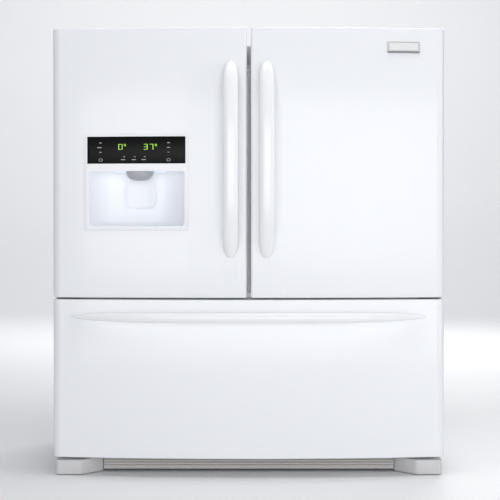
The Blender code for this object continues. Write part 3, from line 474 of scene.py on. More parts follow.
grille_grey = finish("grille_grey", (0.53, 0.51, 0.49), (0.50, 0.485, 0.465), 0.45, 700, 0.00006)
cover_grey = finish("leg_cover_grey", (0.62, 0.615, 0.62), (0.59, 0.585, 0.595), 0.42, 700, 0.00005)


def grid_tree(name):
    """Geometry Nodes that repeat a small shape in columns and rows and give the result its material."""
    tree = bpy.data.node_groups.new(name, "GeometryNodeTree")
    face = tree.interface
    face.new_socket("Shape", in_out="INPUT", socket_type="NodeSocketGeometry")
    ins = {}
    for label, kind in (
        ("Columns", "Int"),
        ("Rows", "Int"),
        ("Column step", "Vector"),
        ("Row step", "Vector"),
        ("Finish", "Material"),
    ):
        ins[label] = face.new_socket(label, in_out="INPUT", socket_type=f"NodeSocket{kind}").identifier
    face.new_socket("Mesh", in_out="OUTPUT", socket_type="NodeSocketGeometry")
    nodes, links = tree.nodes, tree.links
    given, result = nodes.new("NodeGroupInput"), nodes.new("NodeGroupOutput")

    def math_node(kind, first, second, integer=False):
        made = nodes.new("ShaderNodeMath" if not integer else "FunctionNodeIntegerMath")
        made.operation = kind
        links.new(first, made.inputs[0])
        if second is not None:
            links.new(second, made.inputs[1])
        return made.outputs[0]

    total = math_node("MULTIPLY", given.outputs["Columns"], given.outputs["Rows"])
    points = nodes.new("GeometryNodePoints")
    links.new(total, points.inputs["Count"])
    index = nodes.new("GeometryNodeInputIndex").outputs[0]
    row = math_node("FLOOR", math_node("DIVIDE", index, given.outputs["Columns"]), None)
    column = math_node("SUBTRACT", index, math_node("MULTIPLY", row, given.outputs["Columns"]))

    def scaled(vector, amount):
        made = nodes.new("ShaderNodeVectorMath")
        made.operation = "SCALE"
        links.new(vector, made.inputs[0])
        links.new(amount, made.inputs["Scale"])
        return made.outputs[0]

    place = nodes.new("ShaderNodeVectorMath")
    links.new(scaled(given.outputs["Column step"], column), place.inputs[0])
    links.new(scaled(given.outputs["Row step"], row), place.inputs[1])
    links.new(place.outputs[0], points.inputs["Position"])
    copies = nodes.new("GeometryNodeInstanceOnPoints")
    links.new(points.outputs[0], copies.inputs["Points"])
    links.new(given.outputs["Shape"], copies.inputs["Instance"])
    whole = nodes.new("GeometryNodeRealizeInstances")
    links.new(copies.outputs[0], whole.inputs[0])
    coated = nodes.new("GeometryNodeSetMaterial")
    links.new(whole.outputs[0], coated.inputs["Geometry"])
    links.new(given.outputs["Finish"], coated.inputs["Material"])
    links.new(coated.outputs[0], result.inputs[0])
    return tree, ins


repeat_tree, repeat_inputs = grid_tree("rows_and_columns")


def repeated(name, bm, look, columns, column_step, rows=1, row_step=(0, 0, 0)):
    """A solid of many copies of bm's shape, set out by the rows-and-columns tree."""
    made = solid(name, bm)
    step = made.modifiers.new("repeat", "NODES")
    step.node_group = repeat_tree
    step[repeat_inputs["Columns"]] = columns
    step[repeat_inputs["Rows"]] = rows
    step[repeat_inputs["Column step"]] = column_step
    step[repeat_inputs["Row step"]] = row_step
    step[repeat_inputs["Finish"]] = look
    return settle(made)


def soften(made, width, segments=2, angle=30):
    """Rounds the edges of a shape."""
    step = made.modifiers.new("rounded_edges", "BEVEL")
    step.width = width
    step.segments = segments
    step.limit_method = "ANGLE"
    step.angle_limit = math.radians(angle)
    step.harden_normals = False
    return settle(made)


# A slat is a shallow blade, tilted down to the front.
blade = [(-0.2600, 0.0215), (-0.2630, 0.0190), (-0.2632, 0.0143), (-0.2622, 0.0135), (-0.2560, 0.0195)]
slats = repeated("kick_grille_slats", prism(blade, "X", -0.4480, 0.4480), grille_grey, 4, (0, 0, 0.0085))
fit(slats, grille_grey, "cabinet")
rail = bmesh.new()
for low_z, high_z, front in ((0.0092, 0.0142, -0.2640), (0.0465, 0.0520, -0.2630)):
    block(rail, (-0.4484, front, low_z), (0.4484, -0.2535, high_z))
for i in range(7):
    x = -0.4435 + i * 0.1478
    block(rail, (x - 0.0025, -0.2600, 0.0135), (x + 0.0025, -0.2540, 0.0470))
rails = soften(solid("kick_grille_frame", rail), 0.0008)
fit(rails, grille_grey, "cabinet", ["toe_grille"])

for side, word in ((-1, "left"), (1, "right")):
    plan = [(0.5900, -0.2540), (0.5890, -0.3140), (0.5820, -0.3220)]
    plan += [(0.5120, -0.3220), (0.5040, -0.3170), (0.4490, -0.2560)]
    inner = [(0.5835, -0.2400), (0.5835, -0.3130), (0.5770, -0.3195)]
    inner += [(0.5130, -0.3195), (0.5060, -0.3150), (0.4520, -0.2400)]
    bm = prism([(side * x, y) for x, y in plan], "Z", 0.0020, 0.0470)
    cover = soften(solid(f"{word}_leg_cover", bm), 0.0030, 3, 25)
    combine(cover, "DIFFERENCE", prism([(side * x, y) for x, y in inner], "Z", -0.02, 0.0440))
    fit(cover, cover_grey, "cabinet", [f"leg_cover_{word}"])

# ======================================================================================
# Dispenser housing: a white moulding let into the left door, with a thin flange round it
# and a deep recess for a glass. The recess wall curves round at the back in one sweep.

moulded_white = finish(
    "moulded_white", (0.84, 0.845, 0.87), (0.82, 0.83, 0.86), 0.34, 420, 0.00003, coat=0.15, swing=0.04
)
NOZZLE_X = -0.332
RECESS_TOP = 0.9245
RECESS_BACK_Y = -0.240
PANEL_LOW = 0.9465


def bowed_slab(left, right, low, high, front, back, strips=40):
    """A plate that follows the front's bow, between two distances behind it."""
    xs = [left + (right - left) * i / strips for i in range(strips + 1)]
    plan = [(x, front_y(x) + front) for x in xs] + [(x, front_y(x) + back) for x in reversed(xs)]
    return prism(plan, "Z", low, high)


def half_oblong(middle, half, front, deep, z):
    """Points from left to right round the back of a rounded oblong, in plan."""
    points = []
    for i in range(49):
        a = math.pi * (1 - i / 48)
        c, s = math.cos(a), math.sin(a)
        x = middle + half * math.copysign(abs(c) ** (2 / 3.4), c)
        points.append((x, front + deep * s ** (2 / 2.6), z))
    return points


def recess_tool(inset_rows):
    """The hollow of the recess: open to the front, and half a rounded oblong behind."""
    left, right = DISPENSER[0] + 0.0055, DISPENSER[1] - 0.0055
    rings = []
    for inset, z in inset_rows:
        half, middle = (right - left) / 2 - inset, (right + left) / 2
        back = half_oblong(middle, half, -0.330, RECESS_BACK_Y - inset + 0.330, z)
        rings.append([(middle - half, -0.5, z), *back, (middle + half, -0.5, z)])
    return bridged(rings)


low_x, high_x, low_z, high_z = DISPENSER
LAP = 0.0062
flange = bowed_slab(low_x - LAP, high_x + LAP, low_z - LAP, high_z + LAP, -0.0022, -0.0003)
flange = soften(solid("flange", flange), 0.0012)
body_plan = [(x, front_y(x) - 0.001) for x in (low_x + 0.0004, -0.41, -0.34, -0.26, high_x - 0.0004)]
body_plan += [(high_x - 0.0004, RECESS_BACK_Y + 0.008), (low_x + 0.0004, RECESS_BACK_Y + 0.008)]
housing = solid("dispenser_surround", prism(body_plan, "Z", low_z + 0.0004, high_z - 0.0004))
rows = [(0.010 * (1 - c), low_z + 0.0065 + 0.010 * (1 - s)) for c, s in reversed(QUARTER)]
rows += [(0.005 * (1 - c), RECESS_TOP - 0.005 * (1 - s)) for c, s in QUARTER]
pocket = bowed_slab(low_x + 0.0028, high_x - 0.0028, PANEL_LOW, high_z - 0.0028, -0.02, 0.006)
combine(housing, "UNION", flange)
combine(housing, "DIFFERENCE", recess_tool(rows), pocket)
soften(housing, 0.0007, 2, 50)
fit(housing, moulded_white, "left_door", ["dispenser_housing"], sharp=40)
recess_painted_glow = finish(
    "recess_painted_glow", (0.84, 0.85, 0.88), (0.82, 0.835, 0.87), 0.38, 420, 0.00003, coat=0.1, swing=0.04
)
# The recess lining glows faintly pale blue: painted light standing in for light bounced round inside the
# recess.
lit(recess_painted_glow, (0.88, 0.93, 1.0), 0.13)
housing.data.materials.append(recess_painted_glow)
# Faces inside the recess, behind the front, get the glowing lining; this picks where the painted light goes.
for face in housing.data.polygons:
    middle = face.center
    if middle.z < RECESS_TOP + 0.001 and middle.y > front_y(middle.x) + 0.003:
        face.material_index = 1

# Ice nozzle: a grey bowl with a round mouth under the recess's ceiling, over a paddle that
# hangs from two lugs and is pushed back by the glass. Two small lamps light the recess.

nozzle_grey = finish("nozzle_grey", (0.42, 0.42, 0.45), (0.39, 0.39, 0.42), 0.38, 600, 0.00003)
NOZZLE_Y = -0.312


def turned(profile, centre, sides=56):
    """A closed profile of (radius, height) points spun round the vertical through centre."""
    x, y, floor_z = centre
    rings = [[(x + r * c, y + r * s, floor_z + z) for c, s in circle(sides)] for r, z in profile]
    return bridged(rings, ends_meet=True)


bowl = [(0.0140, -0.0265)]
bowl += [(0.0140 + 0.0275 * s, -0.0265 + 0.0260 * (1 - c)) for c, s in arc((0, 0), 1, 0, 90, 10)[1:]]
bowl += [(0.0385, -0.0005), (0.0360, -0.0080), (0.0290, -0.0170), (0.0150, -0.0225), (0.0132, -0.0252)]
bowl = solid("ice_nozzle_bowl", turned(bowl, (NOZZLE_X, NOZZLE_Y, RECESS_TOP)))
fit(bowl, nozzle_grey, "left_door", ["ice_nozzle"])

PIVOT_Y, PIVOT_Z = -0.262, 0.9165
rings = []
for i in range(25):
    t = i / 24
    z = PIVOT_Z + 0.002 - 0.104 * t
    half = (0.0335 + 0.0095 * math.sin(math.pi * min(t * 1.15, 1) * 0.62)) * (1 - max(t - 0.82, 0) ** 2 * 9)
    belly = PIVOT_Y - 0.001 - 0.0035 * math.sin(math.pi * t)
    row = []
    for s in (1, -1):
        for k in range(17):
            u = s * (1 - 2 * k / 16)
            row.append((NOZZLE_X + half * u, belly - 0.0055 * u * u + s * 0.0018, z))
    rings.append(row)
bm = bridged(rings)
paddle = solid("ice_paddle", bm)
combine(paddle, "UNION", round_tool((NOZZLE_X, PIVOT_Y, PIVOT_Z), "X", 0.004, 0.036))
# The paddle takes the recess lining's faint glow, which is painted light.
fit(soften(paddle, 0.0006, 2, 60), recess_painted_glow, "paddle", ["dispenser_paddle"])

bm = bmesh.new()
for side in (-1, 1):
    inner, outer = sorted((NOZZLE_X + side * 0.0375, NOZZLE_X + side * 0.0425))
    block(bm, (inner, PIVOT_Y - 0.007, PIVOT_Z - 0.0065), (outer, PIVOT_Y + 0.007, RECESS_TOP - 0.0002))
# The lugs take the same painted glow.
fit(soften(solid("paddle_lugs", bm), 0.0015, 3), recess_painted_glow, "left_door")


def glowing(name, colour, strength, second):
    """A surface that gives off light, a little uneven across its face."""
    return lit(finish(name, colour, second, 0.4, 300, 0.00002), colour, strength)


lamp_blue = glowing("recess_lamp", (0.62, 0.74, 1.0), 0.7, (0.58, 0.71, 1.0))
bm = bmesh.new()
for side in (-1, 1):
    inner, outer = sorted((NOZZLE_X + side * 0.046, NOZZLE_X + side * 0.076))
    lens = rounded_rectangle(inner, outer, -0.306, -0.294, 0.004)
    bridge(bm, [[(x, y, z) for x, y in lens] for z in (RECESS_TOP - 0.0014, RECESS_TOP - 0.0002)])
fit(solid("recess_lamp_lens", bm), lamp_blue, "left_door")

# Drip tray: a shallow white insert on the recess floor, with slots that let spills through.

tray_white = finish("drip_tray_white", (0.74, 0.75, 0.79), (0.71, 0.72, 0.77), 0.33, 500, 0.00003)
rings = []
for inset, z in ((0.0, 0.7583), (0.0, 0.7600), (0.0012, 0.7609), (0.0065, 0.7609), (0.0080, 0.7598)):
    half = 0.1330 - inset
    front = [(-0.3385 + half, -0.3530 + inset, z), (-0.3385 - half, -0.3530 + inset, z)]
    rings.append(half_oblong(-0.3385, half, -0.335, 0.0800 - inset, z) + front)
bm = bridged(rings)
tray = solid("drip_tray", bm)
slot = box_of((-0.4460, -0.3420, 0.7591), (-0.4425, -0.2750, 0.7700))
slots = repeated("slots", slot, tray_white, 24, (0.0091, 0, 0))
combine(tray, "DIFFERENCE", slots)
fit(tray, tray_white, "left_door", sharp=40)

# ======================================================================================
# Control panel: black glass over a green display with two numbers, and small grey marks
# over the touch keys. Each digit shows some of the same seven bars.

panel_black = finish(
    "panel_black", (0.004, 0.004, 0.004), (0.006, 0.006, 0.007), 0.30, 500, 0.00001, swing=0.03
)
panel_black.node_tree.nodes["Principled BSDF"].inputs["Specular IOR Level"].default_value = 0.10
digit_green = glowing("digit_green", (0.24, 0.50, 0.02), 0.9, (0.30, 0.56, 0.04))
mark_grey = glowing("mark_grey", (0.26, 0.26, 0.25), 0.25, (0.30, 0.30, 0.29))
glass = bowed_slab(low_x + 0.0033, high_x - 0.0033, PANEL_LOW + 0.0005, high_z - 0.0033, -0.0017, 0.0055)
fit(soften(solid("control_glass", glass), 0.0008), panel_black, "left_door", ["control_panel"])

SEGMENTS = {"0": "abcdef", "3": "abcdg", "7": "abc"}
BARS = {
    "a": ((0.10, 0.92), (0.90, 1.00)),
    "b": ((0.82, 0.52), (1.00, 0.98)),
    "c": ((0.82, 0.02), (1.00, 0.48)),
    "d": ((0.10, 0.00), (0.90, 0.08)),
    "e": ((0.00, 0.02), (0.18, 0.48)),
    "f": ((0.00, 0.52), (0.18, 0.98)),
    "g": ((0.10, 0.46), (0.90, 0.54)),
}
DIGIT_LOW, DIGIT_HIGH = 0.9885, 1.0055


def printed_bar(bm, left, right, low, high):
    """A thin raised bar on the glass."""
    y = front_y((left + right) / 2) - 0.0017
    block(bm, (left, y - 0.00025, low), (right, y + 0.0006, high))


bm = bmesh.new()
for digit, left in (("0", -0.3925), ("3", -0.3165), ("7", -0.2990)):
    for name in SEGMENTS[digit]:
        (x0, z0), (x1, z1) = BARS[name]
        wide, tall = 0.0125, DIGIT_HIGH - DIGIT_LOW
        printed_bar(bm, left + x0 * wide, left + x1 * wide, DIGIT_LOW + z0 * tall, DIGIT_LOW + z1 * tall)
for left in (-0.3755, -0.2815):
    for x0, z0, x1, z1 in ((0, 0.8, 1, 1), (0, 0, 1, 0.2), (0, 0, 0.25, 1), (0.75, 0, 1, 1)):
        low = DIGIT_HIGH - 0.0062
        printed_bar(bm, left + x0 * 0.0055, left + x1 * 0.0055, low + z0 * 0.0060, low + z1 * 0.0060)
fit(solid("display_digits", bm), digit_green, "left_door")

bm = bmesh.new()
for centre, width, low, high in (
    (-0.4464, 0.0080, 1.0078, 1.0104),
    (-0.4464, 0.0210, 0.9938, 0.9962),
    (-0.4464, 0.0080, 0.9797, 0.9820),
    (-0.2409, 0.0080, 1.0078, 1.0104),
    (-0.2409, 0.0090, 0.9938, 0.9962),
    (-0.2409, 0.0050, 0.9800, 0.9816),
    (-0.3747, 0.0050, 0.9662, 0.9682),
    (-0.3427, 0.0050, 0.9662, 0.9682),
    (-0.3126, 0.0050, 0.9662, 0.9682),
    (-0.3747, 0.0200, 0.9574, 0.9596),
    (-0.3427, 0.0180, 0.9574, 0.9596),
    (-0.3126, 0.0200, 0.9574, 0.9596),
):
    printed_bar(bm, centre - width / 2, centre + width / 2, low, high)
for centre in (-0.4464, -0.2409):
    for c, s in circle(10):
        x, z = centre + 0.0052 * c, 0.9578 + 0.0040 * s
        printed_bar(bm, x - 0.0010, x + 0.0010, z - 0.0010, z + 0.0010)
fit(solid("display_marks", bm), mark_grey, "left_door")

# ======================================================================================
# Cabinet wrapper: one painted steel sheet folded over both sides and the top, with front
# flanges round the two openings. The paint has a fine pebbled texture that hides marks.

cabinet_paint = finish(
    "pebbled_white", (0.76, 0.775, 0.80), (0.745, 0.76, 0.785), 0.42, 850, 0.00025, coat=0.1, swing=0.05
)
CABINET_HALF = 0.590
CABINET_FRONT_Y = -0.250
CABINET_BACK_Y = 0.4236
CABINET_LOW = 0.044
CAVITY_HALF = 0.533
FRIDGE_FLOOR, FRIDGE_CEILING = 0.578, 1.258
FREEZER_CEILING = 0.497


def rounded_block(name, low, high, radius, segments=3):
    return soften(solid(name, box_of(low, high)), radius, segments)


low, high = (-CABINET_HALF, CABINET_FRONT_Y, CABINET_LOW), (CABINET_HALF, CABINET_BACK_Y, CABINET_TOP)
wrapper = rounded_block("cabinet_shell", low, high, 0.005, 4)
low, high = (-0.5888, CABINET_FRONT_Y + 0.0012, -0.1), (0.5888, 0.6, CABINET_TOP - 0.0012)
inside = rounded_block("inside", low, high, 0.0038, 4)
windows = [
    rounded_block("window", (-CAVITY_HALF, -0.4, floor_z), (CAVITY_HALF, -0.2, ceiling_z), 0.012, 4)
    for floor_z, ceiling_z in ((FRIDGE_FLOOR, FRIDGE_CEILING), (-0.3, FREEZER_CEILING))
]
combine(wrapper, "DIFFERENCE", inside, *windows)
fit(wrapper, cabinet_paint, "cabinet", ["cabinet_wrapper"])

# ======================================================================================
# Door seals: soft white rings on each door and on the drawer. Each has a flat foot, a
# waist that folds, and a wide head round a magnet.

seal_white = finish("seal_vinyl", (0.62, 0.63, 0.66), (0.58, 0.59, 0.62), 0.6, 900, 0.00005)
SEAL = (
    (0.0, -0.2646), (0.0150, -0.2646), (0.0150, -0.2632), (0.0118, -0.2622), (0.0105, -0.2606),
    (0.0122, -0.2590), (0.0106, -0.2574), (0.0140, -0.2560), (0.0150, -0.2540), (0.0146, -0.2512),
    (0.0130, -0.2504), (0.0020, -0.2504), (0.0004, -0.2512), (0.0, -0.2540), (0.0010, -0.2560),
    (0.0044, -0.2574), (0.0028, -0.2590), (0.0045, -0.2606), (0.0032, -0.2622), (0.0, -0.2632),
)  # fmt: skip


def frame_rings(low_x, high_x, low_z, high_z, radius, profile, steps=6):
    """A profile of (inset, y) points carried round a rectangle with round corners."""
    rings = []
    for inset, y in profile:
        r = max(radius - inset, 0.0005)
        ring = rounded_rectangle(low_x + inset, high_x - inset, low_z + inset, high_z - inset, r, steps)
        rings.append([(x, y, z) for x, z in ring])
    return rings


for name, body, edges in (
    ("left_door_seal", "left_door", (-0.566, -0.010, 0.556, 1.286)),
    ("right_door_seal", "right_door", (0.0075, 0.566, 0.556, 1.286)),
    ("drawer_seal", "drawer", (-0.566, 0.566, 0.085, 0.524)),
):
    bm = bridged(frame_rings(*edges, 0.012, SEAL), ends_meet=True)
    fit(solid(name, bm), seal_white, body, [name.replace("seal", "gasket")], sharp=40)

# ======================================================================================
# Hinge covers: rounded white caps over the top hinges, each held by one screw. They stand
# behind the doors' notched corners.

screw_steel = finish("screw_steel", (0.50, 0.50, 0.52), (0.42, 0.42, 0.44), 0.35, 1200, 0.00003, metallic=1.0)


def screw_head(bm, centre, axis, radius):
    """A pan head with a round pit sunk into its top, added to bm."""
    profile = ((1.0, 0.0), (1.0, 0.3), (0.88, 0.62), (0.62, 0.82), (0.30, 0.9))
    tilt = {"Z": 0, "-Y": math.pi / 2, "Y": -math.pi / 2}[axis]
    place = Matrix.Translation(centre) @ Matrix.Rotation(tilt, 4, "X")
    rings = [[place @ (Vector((r * c, r * s, h * 0.7)) * radius) for c, s in circle(16)] for r, h in profile]
    rows = bridge(bm, rings, caps=False)
    bm.faces.new(rows[0])
    pit = bm.verts.new(place @ Vector((0, 0, radius * 0.30)))
    for k in range(16):
        bm.faces.new((rows[-1][k], rows[-1][(k + 1) % 16], pit))


for side, word in ((-1, "left"), (1, "right")):
    inner, outer = sorted((side * 0.520, side * 0.590))
    rings = []
    dome = ((0, 0.0004), (0, 0.0200), (0.0015, 0.0245), (0.0045, 0.0280), (0.0090, 0.0298), (0.0140, 0.0300))
    for inset, z in dome:
        r = max(0.014 - inset, 0.002)
        ring = rounded_rectangle(inner + inset, outer - inset, -0.248 + inset, -0.140 - inset, r, 5)
        rings.append([(x, y, CABINET_TOP + z) for x, y in ring])
    bm = bridged(rings)
    cap = solid(f"{word}_hinge_cap", bm)
    hollow_low = (inner + 0.0015, -0.27, CABINET_TOP - 0.01)
    hollow_high = (outer - 0.0015, -0.143, CABINET_TOP + 0.020)
    combine(cap, "DIFFERENCE", box_of(hollow_low, hollow_high))
    fit(cap, moulded_white, "cabinet", [f"hinge_cover_{word}"], sharp=40)
    bm = bmesh.new()
    screw_head(bm, ((inner + outer) / 2, -0.165, CABINET_TOP + 0.0299), "Z", 0.0042)
    fit(solid(f"{word}_hinge_cap_screw", bm), screw_steel, "cabinet")

# Hinges: steel plates with pins, zinc-plated on the cabinet's top. Those on the rail between the doors and
# the drawer are dark grey, painted shade for the gap they sit in. They keep the imported shapes and only get
# their finish.

zinc_plate = finish(
    "zinc_plate", (0.52, 0.52, 0.53), (0.44, 0.44, 0.46), 0.34, 500, 0.00005, metallic=1.0, cloud=60.0
)


def dress(node, look):
    """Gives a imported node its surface; its shape stays as it is."""
    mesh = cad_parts[node].data
    mesh.materials.clear()
    mesh.materials.append(look)


# The centre hinges' dark grey is painted shade for the gap between the doors and the drawer.
hinge_painted_shade = finish("hinge_painted_shade", (0.17, 0.17, 0.175), (0.14, 0.14, 0.145), 0.5, 500, 0.00005, metallic=0.6)
for word in ("left", "right"):
    dress(f"top_hinge_{word}", zinc_plate)
    dress(f"center_hinge_{word}", hinge_painted_shade)
bm = bmesh.new()
for side in (-1, 1):
    for x, y in ((0.545, -0.215), (0.575, -0.215), (0.560, -0.185)):
        screw_head(bm, (side * x, y, CABINET_TOP + 0.0035), "Z", 0.0045)
    for z in (0.5330, 0.5470):
        screw_head(bm, (side * 0.535, CABINET_FRONT_Y - 0.0034, z), "-Y", 0.0022)
fit(solid("hinge_screws", bm), screw_steel, "cabinet")

# ======================================================================================
# Back of the cabinet: galvanised sheet with pressed ribs that stiffen it, screwed on round
# its edge, over the foam that fills the walls.

galvanised = finish(
    "galvanised_sheet",
    (0.50, 0.51, 0.53),
    (0.40, 0.41, 0.43),
    0.42,
    160,
    0.00006,
    metallic=0.9,
    swing=0.1,
    cloud=38.0,
)
foam_cream = finish("foam_cream", (0.72, 0.60, 0.36), (0.62, 0.50, 0.28), 0.9, 220, 0.0006)
dress("cabinet_foam", foam_cream)
low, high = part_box("cabinet_back")
COLUMNS, ROWS = 118, 104
RIB_PITCH, RIB_DEPTH = 0.115, 0.0035


def rib_height(x, z):
    """How far the pressed ribs stand out: flat-topped bars with sloped sides and round ends."""
    edge = min(x - low.x, high.x - x, z - low.z, high.z - z)
    across = abs((z - low.z - 0.06) % RIB_PITCH - RIB_PITCH / 2)
    rise = max(0.0, min(1.0, (0.030 - across) / 0.008))
    reach = max(0.0, min(1.0, (edge - 0.045) / 0.012))
    return RIB_DEPTH * rise * reach


bm = bmesh.new()
grid = []
for j in range(ROWS + 1):
    z = low.z + (high.z - low.z) * j / ROWS
    row = []
    for i in range(COLUMNS + 1):
        x = low.x + (high.x - low.x) * i / COLUMNS
        row.append(bm.verts.new((x, high.y + 0.0004 + rib_height(x, z), z)))
    grid.append(row)
for j in range(ROWS):
    for i in range(COLUMNS):
        bm.faces.new((grid[j][i], grid[j][i + 1], grid[j + 1][i + 1], grid[j + 1][i]))
sheet = solid("pressed_back", bm)
if sum(p.normal.y for p in sheet.data.polygons) < 0:
    sheet.data.flip_normals()
wall = sheet.modifiers.new("sheet", "SOLIDIFY")
wall.thickness = 0.0010
wall.offset = -1
fit(settle(sheet), galvanised, "cabinet", ["cabinet_back"], sharp=25)
bm = bmesh.new()
for i in range(9):
    x = low.x + 0.02 + (high.x - low.x - 0.04) * i / 8
    for z in (low.z + 0.015, high.z - 0.015):
        screw_head(bm, (x, high.y + 0.0004, z), "Y", 0.0045)
for j in range(1, 7):
    z = low.z + 0.015 + (high.z - low.z - 0.03) * j / 7
    for x in (low.x + 0.012, high.x - 0.012):
        screw_head(bm, (x, high.y + 0.0004, z), "Y", 0.0045)
fit(solid("back_screws", bm), screw_steel, "cabinet")

# ======================================================================================
# Door liners: white vacuum-formed plastic inside each door and the drawer. A raised dyke
# runs round the middle with soft corners, and carries the bins.

liner_white = finish("liner_white", (0.78, 0.785, 0.80), (0.76, 0.765, 0.785), 0.36, 320, 0.00005, coat=0.1)
DYKE_Y = -0.235
CREASE = 0.0004
DYKE = (
    (-0.0030, -0.2662), (0.0002, -0.2640), (0.0010, -0.2600), (0.0016, -0.2400), (0.0026, -0.2362),
    (0.0044, DYKE_Y), (0.0052, DYKE_Y), (0.0068, -0.2362), (0.0076, -0.2400), (0.0080, -0.2600),
    (0.0090, -0.2640), (0.0120, -0.2662),
)  # fmt: skip


def inner_panel(name, node, dyke_edges, extras=(), cutters=()):
    """A liner: a thin back plate with a hollow-topped dyke moulded on it, and anything else joined on."""
    low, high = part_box(node)
    plate = rounded_rectangle(low.x, high.x, low.z, high.z, 0.006, 4)
    made = solid(name, prism(plate, "Y", -0.2675, -0.2650))
    ring = bridged(frame_rings(*dyke_edges, 0.022, DYKE), ends_meet=True)
    combine(made, "UNION", ring, *extras)
    if cutters:
        combine(made, "DIFFERENCE", *cutters)
    return made


def bin_stops(bm, xs, heights):
    """Small block-shaped ribs inside the dyke, that the bins hang on."""
    for x in xs:
        for z in heights:
            block(bm, (x - 0.0035, -0.2655, z), (x + 0.0035, -0.2440, z + 0.018))
    return bm


lugs = [
    rounded_block("lug", (-0.074, -0.266, low_z), (-0.053, -0.237, high_z), 0.002)
    for low_z, high_z in ((0.5905, 0.5995), (1.2365, 1.2455))
]
bump = rounded_block("bump", (-0.4985, -0.266, 0.743), (-0.1785, -0.228, 1.0395), 0.010, 4)
left_ribs = bin_stops(bmesh.new(), (-0.5105, -0.0815), (0.712, 1.158))
right_ribs = bin_stops(bmesh.new(), (0.5105, 0.0815), (0.712, 0.914, 1.205))
door_dyke = (0.072, 0.520, 0.604, 1.232)
recess_clearance = box_of((-0.4905, -0.30, 0.7510), (-0.1865, -0.2314, 1.0316))
pin_holes = [round_tool((-0.060, -0.243, z), "Z", 0.0029, 0.012, 20) for z in (0.595, 1.241)]
left_panel = inner_panel(
    "left_door_panel",
    "left_door_liner",
    (-door_dyke[1], -door_dyke[0], *door_dyke[2:]),
    [*lugs, bump, left_ribs],
    [pocket_tool(-1, SHEET + CREASE), recess_clearance, *pin_holes],
)
fit(left_panel, liner_white, "left_door", ["left_door_liner"], sharp=40)
right_panel = inner_panel(
    "right_door_panel", "right_door_liner", door_dyke, [right_ribs], [pocket_tool(1, SHEET + CREASE)]
)
fit(right_panel, liner_white, "right_door", ["right_door_liner"], sharp=40)
drawer_panel = inner_panel("drawer_panel", "drawer_liner", (-0.520, 0.520, 0.128, 0.484))
fit(drawer_panel, liner_white, "drawer", ["drawer_liner"], sharp=40)

# ======================================================================================
# Door bins: clear styrene tubs with soft corners and a rolled rim, hung in the dykes, each
# with a white band round its top. A smoky lid covers the top right one.

clear_styrene = finish(
    "clear_styrene",
    (0.80, 0.86, 0.90),
    (0.77, 0.84, 0.89),
    0.12,
    200,
    0.00003,
    coat=0.4,
    alpha=0.34,
    swing=0.03,
)
band_white = finish("band_white", (0.82, 0.825, 0.84), (0.80, 0.805, 0.825), 0.3, 400, 0.00003, coat=0.2)


def flat_rings(edges, radius, profile, steps=6):
    """A profile of (inset, z) points carried round a rectangle in plan with round corners."""
    low_x, high_x, low_y, high_y = edges
    rings = []
    for inset, z in profile:
        r = max(radius - inset, 0.0006)
        ring = rounded_rectangle(low_x + inset, high_x - inset, low_y + inset, high_y - inset, r, steps)
        rings.append([(x, y, z) for x, y in ring])
    return rings


def tub(edges, low, high, wall, radius, draft=0.004, foot=0.008):
    """An open tub: drafted walls, a round foot, and a rim rolled over at the top."""
    outside = [(draft + foot * (1 - s), low + foot * (1 - c)) for c, s in QUARTER]
    rim = [(wall * 0.9, high - wall * 1.2), (0.0, high - wall), (0.0, high - 0.3 * wall), (wall * 0.3, high)]
    rim += [(wall * 1.5, high), (wall * 1.9, high - 0.4 * wall)]
    inside = [(wall + x, max(z, low + wall)) for x, z in reversed(outside)]
    inside = [(x, z + wall * 0.4 if z > low + wall else z) for x, z in inside]
    return bridged(flat_rings(edges, radius, outside + rim + inside))


for body, word, edges, bottoms, strip in (
    ("left_door", "left", (-0.505, -0.084, -0.2642, -0.1690), (0.616, 1.062), (-0.150, -0.095)),
    ("right_door", "right", (0.086, 0.500, -0.2642, -0.1690), (0.616, 0.818, 1.020), (0.250, 0.336)),
):
    bins = [solid(f"{word}_bin", tub(edges, z, z + 0.084, 0.003, 0.022)) for z in bottoms]
    low, high = (strip[0], -0.2640, bottoms[0] + 0.002), (strip[1], -0.2612, bottoms[-1] + 0.07)
    rack = rounded_block("rack", low, high, 0.001, 2)
    holder = bins[0]
    holder.name = f"{word}_door_bin_set"
    combine(holder, "UNION", *bins[1:], rack)
    fit(holder, clear_styrene, body, [f"{word}_door_bins"], sharp=40)
    bands = bmesh.new()
    band = ((0.0, 0.0600), (-0.0012, 0.0612), (-0.0012, 0.0770), (0.0, 0.0782))
    band += ((0.0016, 0.0782), (0.0016, 0.0600))
    band_edges = (edges[0], edges[1], edges[2] + 0.002, edges[3])
    for z in bottoms:
        profile = [(inset, z + rise) for inset, rise in band]
        bridge(bands, flat_rings(band_edges, 0.020, profile), ends_meet=True)
    fit(solid(f"{word}_bin_bands", bands), band_white, body)

lid_smoke = finish(
    "lid_smoke", (0.62, 0.68, 0.73), (0.58, 0.65, 0.71), 0.14, 240, 0.00003, coat=0.4, alpha=0.5, swing=0.03
)
lid_line = (
    (-0.2605, 1.1098), (-0.2585, 1.1106), (-0.1720, 1.1102), (-0.1680, 1.1092), (-0.1656, 1.1060),
    (-0.1650, 1.0925), (-0.1675, 1.0925), (-0.1680, 1.1045), (-0.1700, 1.1068), (-0.1730, 1.1076),
    (-0.2585, 1.1080), (-0.2605, 1.1086),
)  # fmt: skip
lid = soften(solid("dairy_cover", prism(lid_line, "X", 0.0872, 0.4988)), 0.0006, 2, 40)
combine(lid, "UNION", round_tool((0.293, -0.259, 1.1095), "X", 0.0016, 0.2055, 16))
fit(lid, lid_smoke, "dairy_door", ["dairy_lid"], sharp=40)

# Folding mullion: a narrow white bar hinged on the left door's edge. It shuts against both
# door seals, and swings in as the left door opens.

